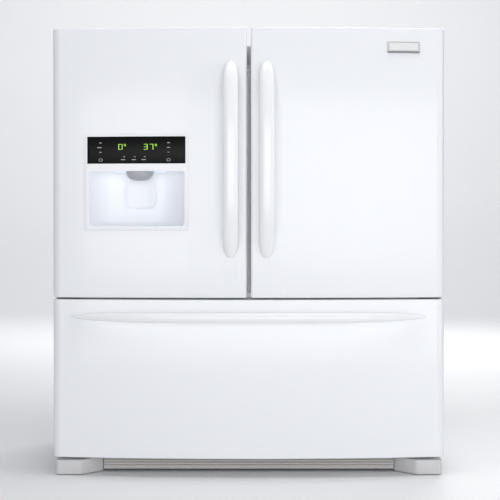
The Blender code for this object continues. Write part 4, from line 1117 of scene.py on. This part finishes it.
low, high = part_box("mullion_flap")
plan = rounded_rectangle(low.x, 0.0064, -0.2492, high.y, 0.0028, 5)
flap_gloss_painted_glow = finish(
    "flap_gloss_painted_glow", (0.84, 0.85, 0.88), (0.82, 0.83, 0.86), 0.12, 400, 0.00001, coat=0.9, swing=0.02
)
# The gloss also glows faintly: painted light that lifts the shade in the deep gaps round the doors.
lit(flap_gloss_painted_glow, (0.84, 0.85, 0.88), 0.12)
flap = solid("mullion_bar", prism(plan, "Z", 0.600, 0.6012, 1.2348, 1.236))
grooves = [box_of((x - 0.0008, -0.2380, 0.612), (x + 0.0008, -0.230, 1.224)) for x in (-0.050, -0.012)]
combine(flap, "DIFFERENCE", *grooves)
combine(flap, "UNION", *[round_tool((-0.060, -0.243, z), "Z", 0.0023, 0.0085, 20) for z in (0.5990, 1.2370)])
fit(flap, flap_gloss_painted_glow, "folding_mullion", ["mullion_flap"], sharp=40)

# Blocks on the liner's floor and ceiling stand where the bar's guide tracks are.
guides = bmesh.new()
for low_z, high_z in ((0.5775, 0.5985), (1.2375, 1.2585)):
    block(guides, (-0.046, -0.2478, low_z), (0.016, -0.2230, high_z))
block(guides, (-0.0085, -0.2516, 0.5536), (0.0060, -0.2502, 0.5790))
# The guides glow faintly with the bar's finish, which is painted light in the gap between the doors.
fit(soften(solid("mullion_guides", guides), 0.0025, 3), flap_gloss_painted_glow, "cabinet")

# ======================================================================================
# Fridge liner: a formed white shell with round corners and low ribs that hold the shelves.
# An air duct stands on the back wall, and a long lamp is let into the ceiling.

LINER_FRONT_Y = -0.2484
FRIDGE_BACK_Y = 0.363
shell = [(-0.002, FRIDGE_BACK_Y + 0.0018), (-0.002, LINER_FRONT_Y), (0.0, LINER_FRONT_Y)]
shell += [(0.016 * (1 - c), FRIDGE_BACK_Y - 0.016 * (1 - s)) for c, s in QUARTER]
bm = bridged(frame_rings(-CAVITY_HALF, CAVITY_HALF, FRIDGE_FLOOR, FRIDGE_CEILING, 0.018, shell))
liner = solid("fridge_interior", bm)
ledges = bmesh.new()
for side, heights in ((-1, (0.893, 0.982)), (1, (0.893, 0.982, 1.085, 1.170))):
    for z in heights:
        inner, outer = sorted((side * 0.5286, side * 0.5342))
        block(ledges, (inner, -0.150, z), (outer, 0.352, z + 0.0085))
combine(liner, "UNION", soften(solid("ledges", ledges), 0.002, 3))
fit(liner, liner_white, "cabinet", ["fridge_liner"], sharp=40)

tower = rounded_block("air_duct", (-0.105, 0.3512, 0.826), (0.105, 0.3640, 1.252), 0.006, 4)


def shape_of(made):
    """The shape of an object that was only a step on the way, as a mesh in the making."""
    bm = bmesh.new()
    bm.from_mesh(made.data)
    bpy.data.objects.remove(made)
    return bm


slot = shape_of(rounded_block("slot", (-0.070, 0.3450, 0.850), (-0.014, 0.3560, 0.856), 0.002, 2))
combine(tower, "DIFFERENCE", repeated("slots", slot, liner_white, 2, (0.084, 0, 0), 24, (0, 0, 0.0165)))
fit(tower, moulded_white, "cabinet", sharp=40)

ceiling_glow = glowing("ceiling_lamp", (1.0, 0.98, 0.94), 0.3, (0.98, 0.96, 0.92))
profile = ((0.0, 1.2582), (0.0, 1.2560), (0.0025, 1.2532), (0.0060, 1.2520), (0.0100, 1.2516))
lens = bridged(flat_rings((-0.150, 0.150, -0.205, -0.150), 0.012, profile))
fit(solid("ceiling_lamp_lens", lens), ceiling_glow, "cabinet")

# ======================================================================================
# Shelves: tempered glass in white edge trims. The lower one roofs the crispers, with a
# divider between them and guides at both sides.

shelf_glass = finish(
    "shelf_glass", (0.62, 0.78, 0.72), (0.60, 0.76, 0.71), 0.06, 150, 0.00001, coat=0.5, alpha=0.3, swing=0.02
)


def glass_shelf(edges, low, high, extras=()):
    """A trim frame with rounded edges, and the pane that sits in its rebate."""
    mid = (low + high) / 2
    rim = ((0.0, low + 0.002), (0.0, high - 0.002), (0.002, high), (0.010, high), (0.012, high - 0.0015))
    rim += ((0.012, mid + 0.0026), (0.008, mid + 0.0026), (0.008, mid - 0.0026), (0.012, mid - 0.0026))
    rim += ((0.012, low), (0.002, low))
    trim = solid("shelf_trim", bridged(flat_rings(edges, 0.010, rim), ends_meet=True))
    if extras:
        combine(trim, "UNION", *extras)
    inside = (0.0085, mid - 0.0020), (0.0085, mid + 0.0020)
    return trim, solid("shelf_pane", bridged(flat_rings(edges, 0.010, inside)))


trim, pane = glass_shelf((-0.528, 0.528, -0.135, 0.350), 0.992, 1.006)
fit(trim, band_white, "cabinet", ["upper_shelf"], sharp=40).name = "upper_shelf_trim"
fit(pane, shelf_glass, "cabinet").name = "upper_shelf_glass"
guides = [
    rounded_block("guide", (x, -0.105, 0.760), (x + 0.029, 0.345, 0.803), 0.003) for x in (-0.529, 0.500)
]
divider = rounded_block("divider", (-0.006, -0.095, 0.579), (0.006, 0.350, 0.803), 0.0025)
trim, pane = glass_shelf((-0.529, 0.529, -0.115, 0.358), 0.800, 0.816, [*guides, divider])
fit(trim, band_white, "cabinet", ["crisper_shelf"], sharp=40).name = "crisper_shelf_trim"
fit(pane, shelf_glass, "cabinet").name = "crisper_shelf_glass"

# Crispers: two clear drawers with soft corners, each with a frosted front and a white grip
# along its top edge.

frosted = finish("frosted_front", (0.80, 0.86, 0.90), (0.76, 0.83, 0.88), 0.5, 700, 0.0001, alpha=0.62)
for side, word in ((-1, "left"), (1, "right")):
    inner, outer = sorted((side * 0.010, side * 0.490))
    drawer = tub((inner, outer, -0.1135, 0.335), 0.590, 0.790, 0.003, 0.020, 0.007, 0.012)
    drawer = solid(f"{word}_crisper_tub", drawer)
    fit(drawer, clear_styrene, f"{word}_crisper", [f"crisper_{word}"], sharp=40)
    sheet = rounded_rectangle(inner + 0.018, outer - 0.018, 0.612, 0.748, 0.012, 5)
    face = solid(f"{word}_crisper_face", prism(sheet, "Y", -0.1148, -0.1080))
    fit(face, frosted, f"{word}_crisper")
    bar = rounded_rectangle(inner + 0.006, outer - 0.006, 0.7560, 0.7885, 0.008, 5)
    hollow = rounded_rectangle(inner + 0.10, outer - 0.10, 0.7620, 0.7780, 0.006, 5)
    plate = solid(f"{word}_crisper_grip", prism(bar, "Y", -0.1154, -0.1095))
    combine(plate, "DIFFERENCE", prism(hollow, "Y", -0.120, -0.1120))
    fit(soften(plate, 0.0008, 2, 50), band_white, f"{word}_crisper", sharp=40)

# ======================================================================================
# Ice maker: a white housing open at the front, with an aluminium mould and its fingers
# inside, over a clear bucket with a white face that pulls out.

hood = [(0.0, 0.320), (0.0, -0.100), (0.003, -0.100), (0.003, 0.3135), (0.004, 0.3165)]
hood = bridged(frame_rings(-0.527, -0.208, 1.0705, 1.2535, 0.014, hood))
fit(solid("ice_maker_housing", hood), moulded_white, "cabinet", ["ice_maker"], sharp=40)
cast_aluminium = finish(
    "cast_aluminium", (0.58, 0.59, 0.61), (0.50, 0.51, 0.53), 0.4, 600, 0.0001, metallic=1.0
)
mould = rounded_block("ice_mould", (-0.500, -0.015, 1.206), (-0.235, 0.300, 1.236), 0.010, 4)
slot = box_of((-0.480, 0.005, 1.216), (-0.255, 0.033, 1.250))
combine(mould, "DIFFERENCE", repeated("cells", slot, cast_aluminium, 1, (0, 0, 0), 8, (0, 0.036, 0)))
fit(mould, cast_aluminium, "cabinet", sharp=40)
finger = box_of((-0.380, 0.016, 1.2385), (-0.270, 0.022, 1.2450))
fingers = repeated("ice_fingers", finger, nozzle_grey, 1, (0, 0, 0), 8, (0, 0.036, 0))
combine(fingers, "UNION", round_tool((-0.378, 0.145, 1.2415), "Y", 0.005, 0.160, 20))
fit(soften(fingers, 0.001, 2, 50), nozzle_grey, "cabinet", sharp=40)

bucket = tub((-0.488, -0.218, -0.1000, 0.240), 1.0785, 1.1960, 0.003, 0.018, 0.005, 0.010)
bucket = solid("ice_bucket_tub", bucket)
fit(bucket, clear_styrene, "ice_bucket", ["ice_bin"], sharp=40)
outline = rounded_rectangle(-0.4875, -0.2185, 1.0800, 1.1955, 0.012, 5)
face = solid("ice_bucket_face", prism(outline, "Y", -0.1058, -0.1005))
pull = rounded_block("pull", (-0.400, -0.110, 1.1700), (-0.306, -0.1030, 1.1860), 0.0030, 3)
combine(face, "DIFFERENCE", pull)
fit(soften(face, 0.0010, 2, 50), band_white, "ice_bucket", sharp=40)

# ======================================================================================
# Freezer liner: a formed white shell with a step at the back, over the machine space. White
# rails close the cabinet's front over and under it, where the drawer's seal meets.

FREEZER_LOW, FREEZER_STEP = 0.115, 0.302
FREEZER_BACK_Y = 0.363
outside = rounded_block("freezer_interior", (-0.535, LINER_FRONT_Y, 0.113), (0.535, 0.190, 0.304), 0.008)
high = (0.535, FREEZER_BACK_Y + 0.002, 0.499)
combine(outside, "UNION", rounded_block("upper", (-0.535, LINER_FRONT_Y, 0.300), high, 0.008))
hollow = rounded_block("hollow", (-0.533, -0.35, FREEZER_LOW), (0.533, 0.188, FREEZER_STEP + 0.02), 0.012, 4)
high = (0.533, FREEZER_BACK_Y, FREEZER_CEILING)
combine(hollow, "UNION", rounded_block("upper", (-0.533, -0.35, FREEZER_STEP), high, 0.012, 4))
combine(outside, "DIFFERENCE", hollow)
ledges = [
    rounded_block("ledge", (x, -0.200, 0.320), (x + 0.027, 0.255, 0.331), 0.0025) for x in (-0.5342, 0.5072)
]
combine(outside, "UNION", *ledges)
fit(outside, liner_white, "cabinet", ["freezer_liner"], sharp=40)
strip = rounded_block("middle_rail_trim", (-0.521, -0.2517, 0.5268), (0.521, -0.2501, 0.5532), 0.0006, 2)
# The trim glows faintly with the bar's finish, which is painted light in the gap under the doors.
fit(strip, flap_gloss_painted_glow, "cabinet")
rail = rounded_block("freezer_sill", (-0.5325, -0.2501, 0.0605), (0.5325, -0.2488, 0.1125), 0.0005, 2)
fit(rail, enamel, "cabinet")

# Evaporator cover: a white panel across the back of the freezer, with a round guard over
# the fan and slots that let the air back in. It hides the coil.

cover = rounded_block("evaporator_panel", (-0.529, 0.2720, 0.306), (0.529, 0.2770, 0.493), 0.002, 3)
slot = shape_of(rounded_block("slot", (-0.500, 0.2690, 0.330), (-0.340, 0.2800, 0.335), 0.002, 2))
slots = repeated("slots", slot, moulded_white, 2, (0.840, 0, 0), 11, (0, 0, 0.0125))
FAN_Z = 0.400
combine(cover, "DIFFERENCE", round_tool((0, 0.2745, FAN_Z), "Y", 0.056, 0.02, 64), slots)
for radius in (0.012, 0.026, 0.040, 0.0535):
    section = ((radius, 0.2705), (radius + 0.0022, 0.2705), (radius + 0.0022, 0.2735), (radius, 0.2735))
    rings = [[(r * c, y, FAN_Z + r * s) for r, y in section] for c, s in circle(56)]
    combine(cover, "UNION", bridged(rings, ends_meet=True))
spokes = []
for k in range(3):
    bm = box_of((-0.0580, 0.2725, -0.0012), (0.0580, 0.2745, 0.0012))
    turn = Matrix.Translation((0, 0, FAN_Z)) @ Matrix.Rotation(math.pi * (k + 0.5) / 3, 4, "Y")
    bmesh.ops.transform(bm, matrix=turn, verts=bm.verts)
    spokes.append(bm)
combine(cover, "UNION", *spokes)
fit(cover, moulded_white, "cabinet", ["evaporator_cover"], sharp=40)

# ======================================================================================
# Fans: a hub and curved moulded blades. One blows over the evaporator into the freezer,
# and one draws air through the condenser.

fan_grey = finish("fan_grey", (0.16, 0.165, 0.17), (0.13, 0.135, 0.14), 0.45, 400, 0.00004)


def fan_wheel(name, centre, along_y, radius, half, blades):
    """A hub with a domed nose, and twisted blades round it, built along Z and then laid over."""
    hub_r = radius * 0.30
    profile = [(0.0008, -half), (hub_r * 0.96, -half), (hub_r, -half * 0.9), (hub_r, half * 0.55)]
    profile += [(hub_r * 0.8, half * 0.85), (hub_r * 0.3, half * 0.98), (0.0008, half)]
    made = solid(name, turned(profile, (0, 0, 0), 40))
    for b in range(blades):
        rings = []
        for i in range(9):
            t = i / 8
            r = hub_r * 0.9 + (radius - hub_r * 0.9) * t
            pitch = math.radians(52 - 24 * t)
            chord = radius * (0.30 + 0.22 * t)
            ring = []
            for s in (1, -1):
                for k in range(9):
                    u = s * (1 - 2 * k / 8)
                    camber = 0.10 * chord * (1 - u * u)
                    x, z = chord * u * 0.5, camber + s * 0.0008
                    tang = x * math.cos(pitch) - z * math.sin(pitch)
                    rise = min(max(x * math.sin(pitch) + z * math.cos(pitch), -half), half)
                    a = 2 * math.pi * b / blades + tang / r + 0.25 * t
                    ring.append((r * math.cos(a), r * math.sin(a), rise))
            rings.append(ring)
        combine(made, "UNION", bridged(rings))
    lay = Matrix.Rotation(math.pi / 2, 4, "X") if along_y else Matrix.Rotation(math.pi / 2, 4, "Y")
    made.data.transform(Matrix.Translation(centre) @ lay)
    return made


for node, body, along_y, radius, blades in (
    ("evaporator_fan", "freezer_fan", True, 0.0495, 5),
    ("condenser_fan", "cooling_fan", False, 0.0615, 7),
):
    low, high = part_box(node)
    half = ((high.y - low.y) if along_y else (high.x - low.x)) / 2
    wheel = fan_wheel(f"{node}_wheel", (low + high) / 2, along_y, radius, half, blades)
    fit(wheel, fan_grey, body, [node], sharp=35)

# Evaporator and condenser: aluminium fins pressed onto rows of tube, and black enamelled
# tube with fins, each with its bends standing out at the ends.

coil_aluminium = finish(
    "coil_aluminium", (0.66, 0.67, 0.69), (0.56, 0.57, 0.60), 0.32, 900, 0.00003, metallic=1.0
)
coil_black = finish("coil_black", (0.022, 0.022, 0.024), (0.030, 0.030, 0.032), 0.42, 500, 0.00006, coat=0.1)


def wire(bm, points, radius, sides=8, closed=False):
    """A round wire along a line of points, mitred at the corners."""
    points = [Vector(p) for p in points]
    count = len(points)
    rings = []
    across = None
    for i, p in enumerate(points):
        before = points[i - 1] if i or closed else None
        after = points[(i + 1) % count] if i + 1 < count or closed else None
        one = (p - before).normalized() if before is not None else (after - p).normalized()
        two = (after - p).normalized() if after is not None else one
        along = (one + two).normalized()
        if across is None:
            across = along.orthogonal().normalized()
        across = (across - along * across.dot(along)).normalized()
        over = along.cross(across)
        rings.append([p + radius * (across * c + over * s) for c, s in circle(sides)])
    bridge(bm, rings, ends_meet=closed)
    return bm


def serpentine(low, high, rows, y, radius):
    """Tube that runs back and forth across a coil, with round bends at its ends."""
    path = []
    gap = (high.z - low.z - 4 * radius) / (rows - 1)
    bend = gap / 2
    for row in range(rows):
        z = low.z + 2 * radius + gap * row
        ends = [low.x + bend + radius, high.x - bend - radius]
        path += [(x, y, z) for x in (ends if row % 2 == 0 else ends[::-1])]
        if row + 1 < rows:
            side = 1 if row % 2 == 0 else -1
            x = ends[1] if side > 0 else ends[0]
            bow = arc((0, 0), bend, 0, 180, 8)[1:-1]
            path += [(x + side * out, y, z + bend - drop) for drop, out in bow]
    return path


for node, look, slot_name, rows, lines, fins in (
    ("evaporator", coil_aluminium, "finned_aluminium", 6, 2, 104),
    ("condenser", coil_black, "black_enamel", 5, 3, 44),
):
    low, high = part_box(node)
    radius = 0.0036
    bm = bmesh.new()
    for line in range(lines):
        y = low.y + (high.y - low.y) * (line + 0.5) / lines
        wire(bm, serpentine(low, high, rows, y, radius), radius, 10)
    fit(solid(f"{node}_tubes", bm), look, "cabinet", [node], sharp=50)
    gap = (high.z - low.z - 4 * radius) / (rows - 1)
    reach = gap / 2 + radius + 0.004
    trim = 0.0006
    outline = rounded_rectangle(low.y + trim, high.y - trim, low.z + trim, high.z - trim, 0.004, 3)
    fin = prism(outline, "X", low.x + reach, low.x + reach + 0.0004)
    step = (high.x - low.x - 2 * reach - 0.0004) / (fins - 1)
    fit(repeated(f"{node}_fins", fin, look, fins, (step, 0, 0)), look, "cabinet")

# Compressor: a black enamelled steel pot with a rolled seam and a relay box, on rubber
# feet. A copper pipe leads from it to the condenser.

low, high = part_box("compressor")
middle, floor_z = (low + high) / 2, low.z
pot_r = min(high.x - low.x, high.y - low.y) / 2
tall = high.z - low.z
profile = [(0.0008, 0.012), (pot_r * 0.60, 0.012), (pot_r * 0.86, 0.024), (pot_r * 0.93, 0.045)]
profile += [(pot_r * 0.94, tall * 0.46), (pot_r, tall * 0.465), (pot_r, tall * 0.52)]
profile += [(pot_r * 0.94, tall * 0.525), (pot_r * 0.93, tall * 0.72), (pot_r * 0.86, tall * 0.88)]
profile += [(pot_r * 0.66, tall * 0.965), (pot_r * 0.35, tall * 0.992), (0.0008, tall)]
pot = solid("compressor_pot", turned(profile, (middle.x, middle.y, floor_z), 56))
relay_low = (middle.x - pot_r, middle.y - 0.028, floor_z + 0.050)
relay_high = (middle.x - pot_r * 0.82, middle.y + 0.028, floor_z + 0.110)
combine(pot, "UNION", rounded_block("relay", relay_low, relay_high, 0.004))
fit(pot, coil_black, "cabinet", ["compressor"], sharp=40)
rubber_black = finish("rubber_black", (0.020, 0.020, 0.021), (0.028, 0.028, 0.029), 0.75, 700, 0.0001)
pad = [(0.0035, 0.0002), (0.0100, 0.0002), (0.0105, 0.0030), (0.0080, 0.0065)]
pad += [(0.0105, 0.0100), (0.0100, 0.0135), (0.0035, 0.0135)]
foot = turned(pad, (middle.x - 0.045, middle.y - 0.045, floor_z), 24)
feet = repeated("compressor_feet", foot, rubber_black, 2, (0.090, 0, 0), 2, (0, 0.090, 0))
fit(feet, rubber_black, "cabinet", sharp=40)
copper = finish("copper_pipe", (0.72, 0.36, 0.22), (0.58, 0.28, 0.17), 0.35, 500, 0.00005, metallic=1.0)
coil_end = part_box("condenser")[1].x - 0.006
route = ((middle.x - 0.02, 0.060, 0.150), (middle.x - 0.03, 0.065, 0.172), (middle.x - 0.06, 0.066, 0.1745))
route += ((0.22, 0.066, 0.1745), (0.20, 0.066, 0.165), (coil_end, 0.060, 0.140))
pipe = wire(bmesh.new(), [(x, middle.y + y, floor_z + z) for x, y, z in route], 0.0030, 10)
fit(solid("discharge_pipe", pipe), copper, "cabinet", sharp=60)

# ======================================================================================
# Machine cover: a galvanised plate over the machine space, with pressed louvres on both
# sides and screws along its edges. The power inlet stands through it.

low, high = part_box("machine_cover")
cover = rounded_block("machine_cover_plate", low, high, 0.0006, 2)
inlet_low, inlet_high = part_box("power_inlet")
GAP, THROUGH = 0.0004, 0.01
window_low = (inlet_low.x - GAP, low.y - THROUGH, inlet_low.z - GAP)
window_high = (inlet_high.x + GAP, high.y + THROUGH, inlet_high.z + GAP)
combine(cover, "DIFFERENCE", box_of(window_low, window_high))
for start in (-0.340, 0.060):
    hole = box_of((start, low.y - THROUGH, 0.0975), (start + 0.130, high.y + THROUGH, 0.1035))
    combine(cover, "DIFFERENCE", repeated("holes", hole, galvanised, 2, (0.150, 0, 0), 6, (0, 0, 0.026)))
fit(cover, galvanised, "cabinet", ["machine_cover"], sharp=40)
for start, word in ((-0.340, "left"), (0.060, "right")):
    rings = []
    for i in range(13):
        t = i / 12
        swell = math.sqrt(max(1 - (2 * t - 1) ** 6, 0.02))
        outer = [(0.0060 * s, 0.00765 * (1 - c)) for c, s in QUARTER]
        inner = [(0.0060 * s - 0.0007, 0.0068 * (1 - c)) for c, s in reversed(QUARTER)]
        ring = [(y, z, 0.0985) for y, z in outer] + [(y, z, 0.0983) for y, z in inner]
        x, near = start + 0.130 * t, high.y - 0.0004
        rings.append([(x, near + swell * y, foot_z + swell * z) for y, z, foot_z in ring])
    hoods = repeated(f"{word}_louvres", bridged(rings), galvanised, 2, (0.150, 0, 0), 6, (0, 0, 0.026))
    hoods.data.transform(Matrix.Translation((0, 0, -0.0015)))
    fit(hoods, galvanised, "cabinet", sharp=40)
bm = bmesh.new()
for i in range(7):
    for z in (low.z + 0.008, high.z - 0.008):
        screw_head(bm, (low.x + 0.015 + (high.x - low.x - 0.03) * i / 6, high.y, z), "Y", 0.0042)
fit(solid("machine_cover_screws", bm), screw_steel, "cabinet")

inlet_black = finish("inlet_black", (0.020, 0.020, 0.022), (0.026, 0.026, 0.028), 0.4, 700, 0.00006)
dress("power_inlet", inlet_black)
brass = finish("brass_pin", (0.70, 0.55, 0.28), (0.62, 0.48, 0.24), 0.3, 600, 0.00002, metallic=1.0)
bm = bmesh.new()
for x, z in ((-0.4555, 0.178), (-0.4445, 0.178), (-0.450, 0.183)):
    block(bm, (x - 0.0010, 0.4090, z - 0.0020), (x + 0.0010, 0.4240, z + 0.0020))
fit(soften(solid("inlet_pins", bm), 0.0005), brass, "cabinet")

# ======================================================================================
# Base frame: a pressed steel tray that closes the bottom, on two rollers at the back and
# two levelling legs at the front.

dress("base_frame", zinc_plate)
wheel_grey = finish("wheel_grey", (0.075, 0.075, 0.08), (0.095, 0.095, 0.10), 0.55, 500, 0.0001)
for side, word in ((-1, "left"), (1, "right")):
    low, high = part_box(f"rear_roller_{word}")
    axle = (side * 0.470, 0.330, 0.021)
    tyre = [(0.0044, -0.0098), (0.0060, -0.0100), (0.0150, -0.0088), (0.0165, -0.0098)]
    tyre += [(0.0195, -0.0098), (0.0208, -0.0080), (0.0210, 0.0)]
    tyre += [(r, -h) for r, h in reversed(tyre[:-1])]
    wheel = solid(f"{word}_roller_wheel", turned(tyre, (0, 0, 0), 48))
    wheel.data.transform(Matrix.Translation(axle) @ Matrix.Rotation(math.pi / 2, 4, "Y"))
    combine(wheel, "UNION", round_tool(axle, "X", 0.004, (high.x - low.x) / 2, 24))
    fit(wheel, wheel_grey, f"{word}_roller", [f"rear_roller_{word}"], sharp=40)
    thread = [(0.0006, 0.0), (0.0160, 0.0), (0.0180, 0.0020), (0.0180, 0.0085)]
    thread += [(0.0168, 0.0100), (0.0052, 0.0100)]
    thread += [(0.0050 if k % 2 else 0.0043, 0.0104 + 0.0010 * k) for k in range(40)]
    thread += [(0.0040, 0.0515), (0.0006, 0.0520)]
    leg = solid(f"{word}_leg_screw", turned(thread, (side * 0.500, -0.195, 0), 40))
    fit(leg, zinc_plate, f"{word}_leg", [f"leveling_leg_{word}"], sharp=30)

# Drawer slides: zinc-plated channels on the freezer's walls, and the arms that run in them
# and carry the drawer and its basket.

for side, word in ((-1, "left"), (1, "right")):
    dress(f"slide_rail_{word}", zinc_plate)
    dress(f"drawer_arm_{word}", zinc_plate)
    low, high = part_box(f"drawer_arm_{word}")
    face = low.x if side > 0 else high.x
    rivet = bmesh.new()
    screw_head(rivet, (0, 0, 0), "Z", 0.0038)
    turn = Matrix.Translation((face, -0.215, 0.168)) @ Matrix.Rotation(-side * math.pi / 2, 4, "Y")
    bmesh.ops.transform(rivet, matrix=turn, verts=rivet.verts)
    rivets = repeated(f"{word}_runner_rivets", rivet, screw_steel, 1, (0, 0, 0), 6, (0, 0.062, 0))
    fit(rivets, screw_steel, "drawer")

# ======================================================================================
# Freezer baskets: white coated wire. Bent wires run under and up both sides, welded to
# thicker rails round the rim and to long wires along the floor.

coated = finish("coated_wire", (0.78, 0.785, 0.80), (0.74, 0.745, 0.765), 0.35, 500, 0.00004, coat=0.3)


def bent_wire(near, far, top, bottom, bend=0.012):
    """A wire that runs down one side, along the floor and up the other side, with round bends."""
    down = [(near + bend - x, bottom + bend - z) for x, z in arc((0, 0), bend, 0, 90, 4)]
    up = [(far - bend + x, bottom + bend - z) for z, x in arc((0, 0), bend, 0, 90, 4)]
    return [(near, top), *down, *up, (far, top)]


for node, body, name, pitch in (
    ("lower_basket", "drawer", "lower_wire_basket", 0.0215),
    ("upper_basket", "freezer_upper_basket", "upper_wire_basket", 0.0235),
):
    low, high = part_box(node)
    thin, thick = 0.0013, 0.0024
    inset = thick + thin
    top, bottom = high.z - thick, low.z + thin
    across = int((high.x - low.x - 0.05) / pitch)
    start = (low.x + high.x) / 2 - pitch * (across - 1) / 2
    hoop = bent_wire(low.y + inset, high.y - inset, top, bottom)
    hoop = wire(bmesh.new(), [(start, y, z) for y, z in hoop], thin, 6)
    hoops = repeated(f"{name}_hoops", hoop, coated, across, (pitch, 0, 0))
    fit(hoops, coated, body, [node], sharp=60)
    rows = int((high.y - low.y - 0.05) / (pitch * 2.2))
    step = (high.y - low.y - 0.06) / (rows - 1)
    cross = bent_wire(low.x + inset, high.x - inset, top, bottom + 2 * thin)
    cross = wire(bmesh.new(), [(x, low.y + 0.030, z) for x, z in cross], thin, 6)
    crosses = repeated(f"{name}_crosses", cross, coated, 1, (0, 0, 0), rows, (0, step, 0))
    fit(crosses, coated, body, sharp=60)
    rails = bmesh.new()
    levels = [(top, thick, thick)]
    levels += [(z, thin * 1.2, inset - thin * 2.2) for z in ((top + bottom) / 2, top - 0.022)]
    for z, r, gap in levels:
        ring = rounded_rectangle(low.x + gap, high.x - gap, low.y + gap, high.y - gap, 0.014, 6)
        wire(rails, [(x, y, z) for x, y in ring], r, 8, closed=True)
    fit(solid(f"{name}_rails", rails), coated, body, sharp=60)
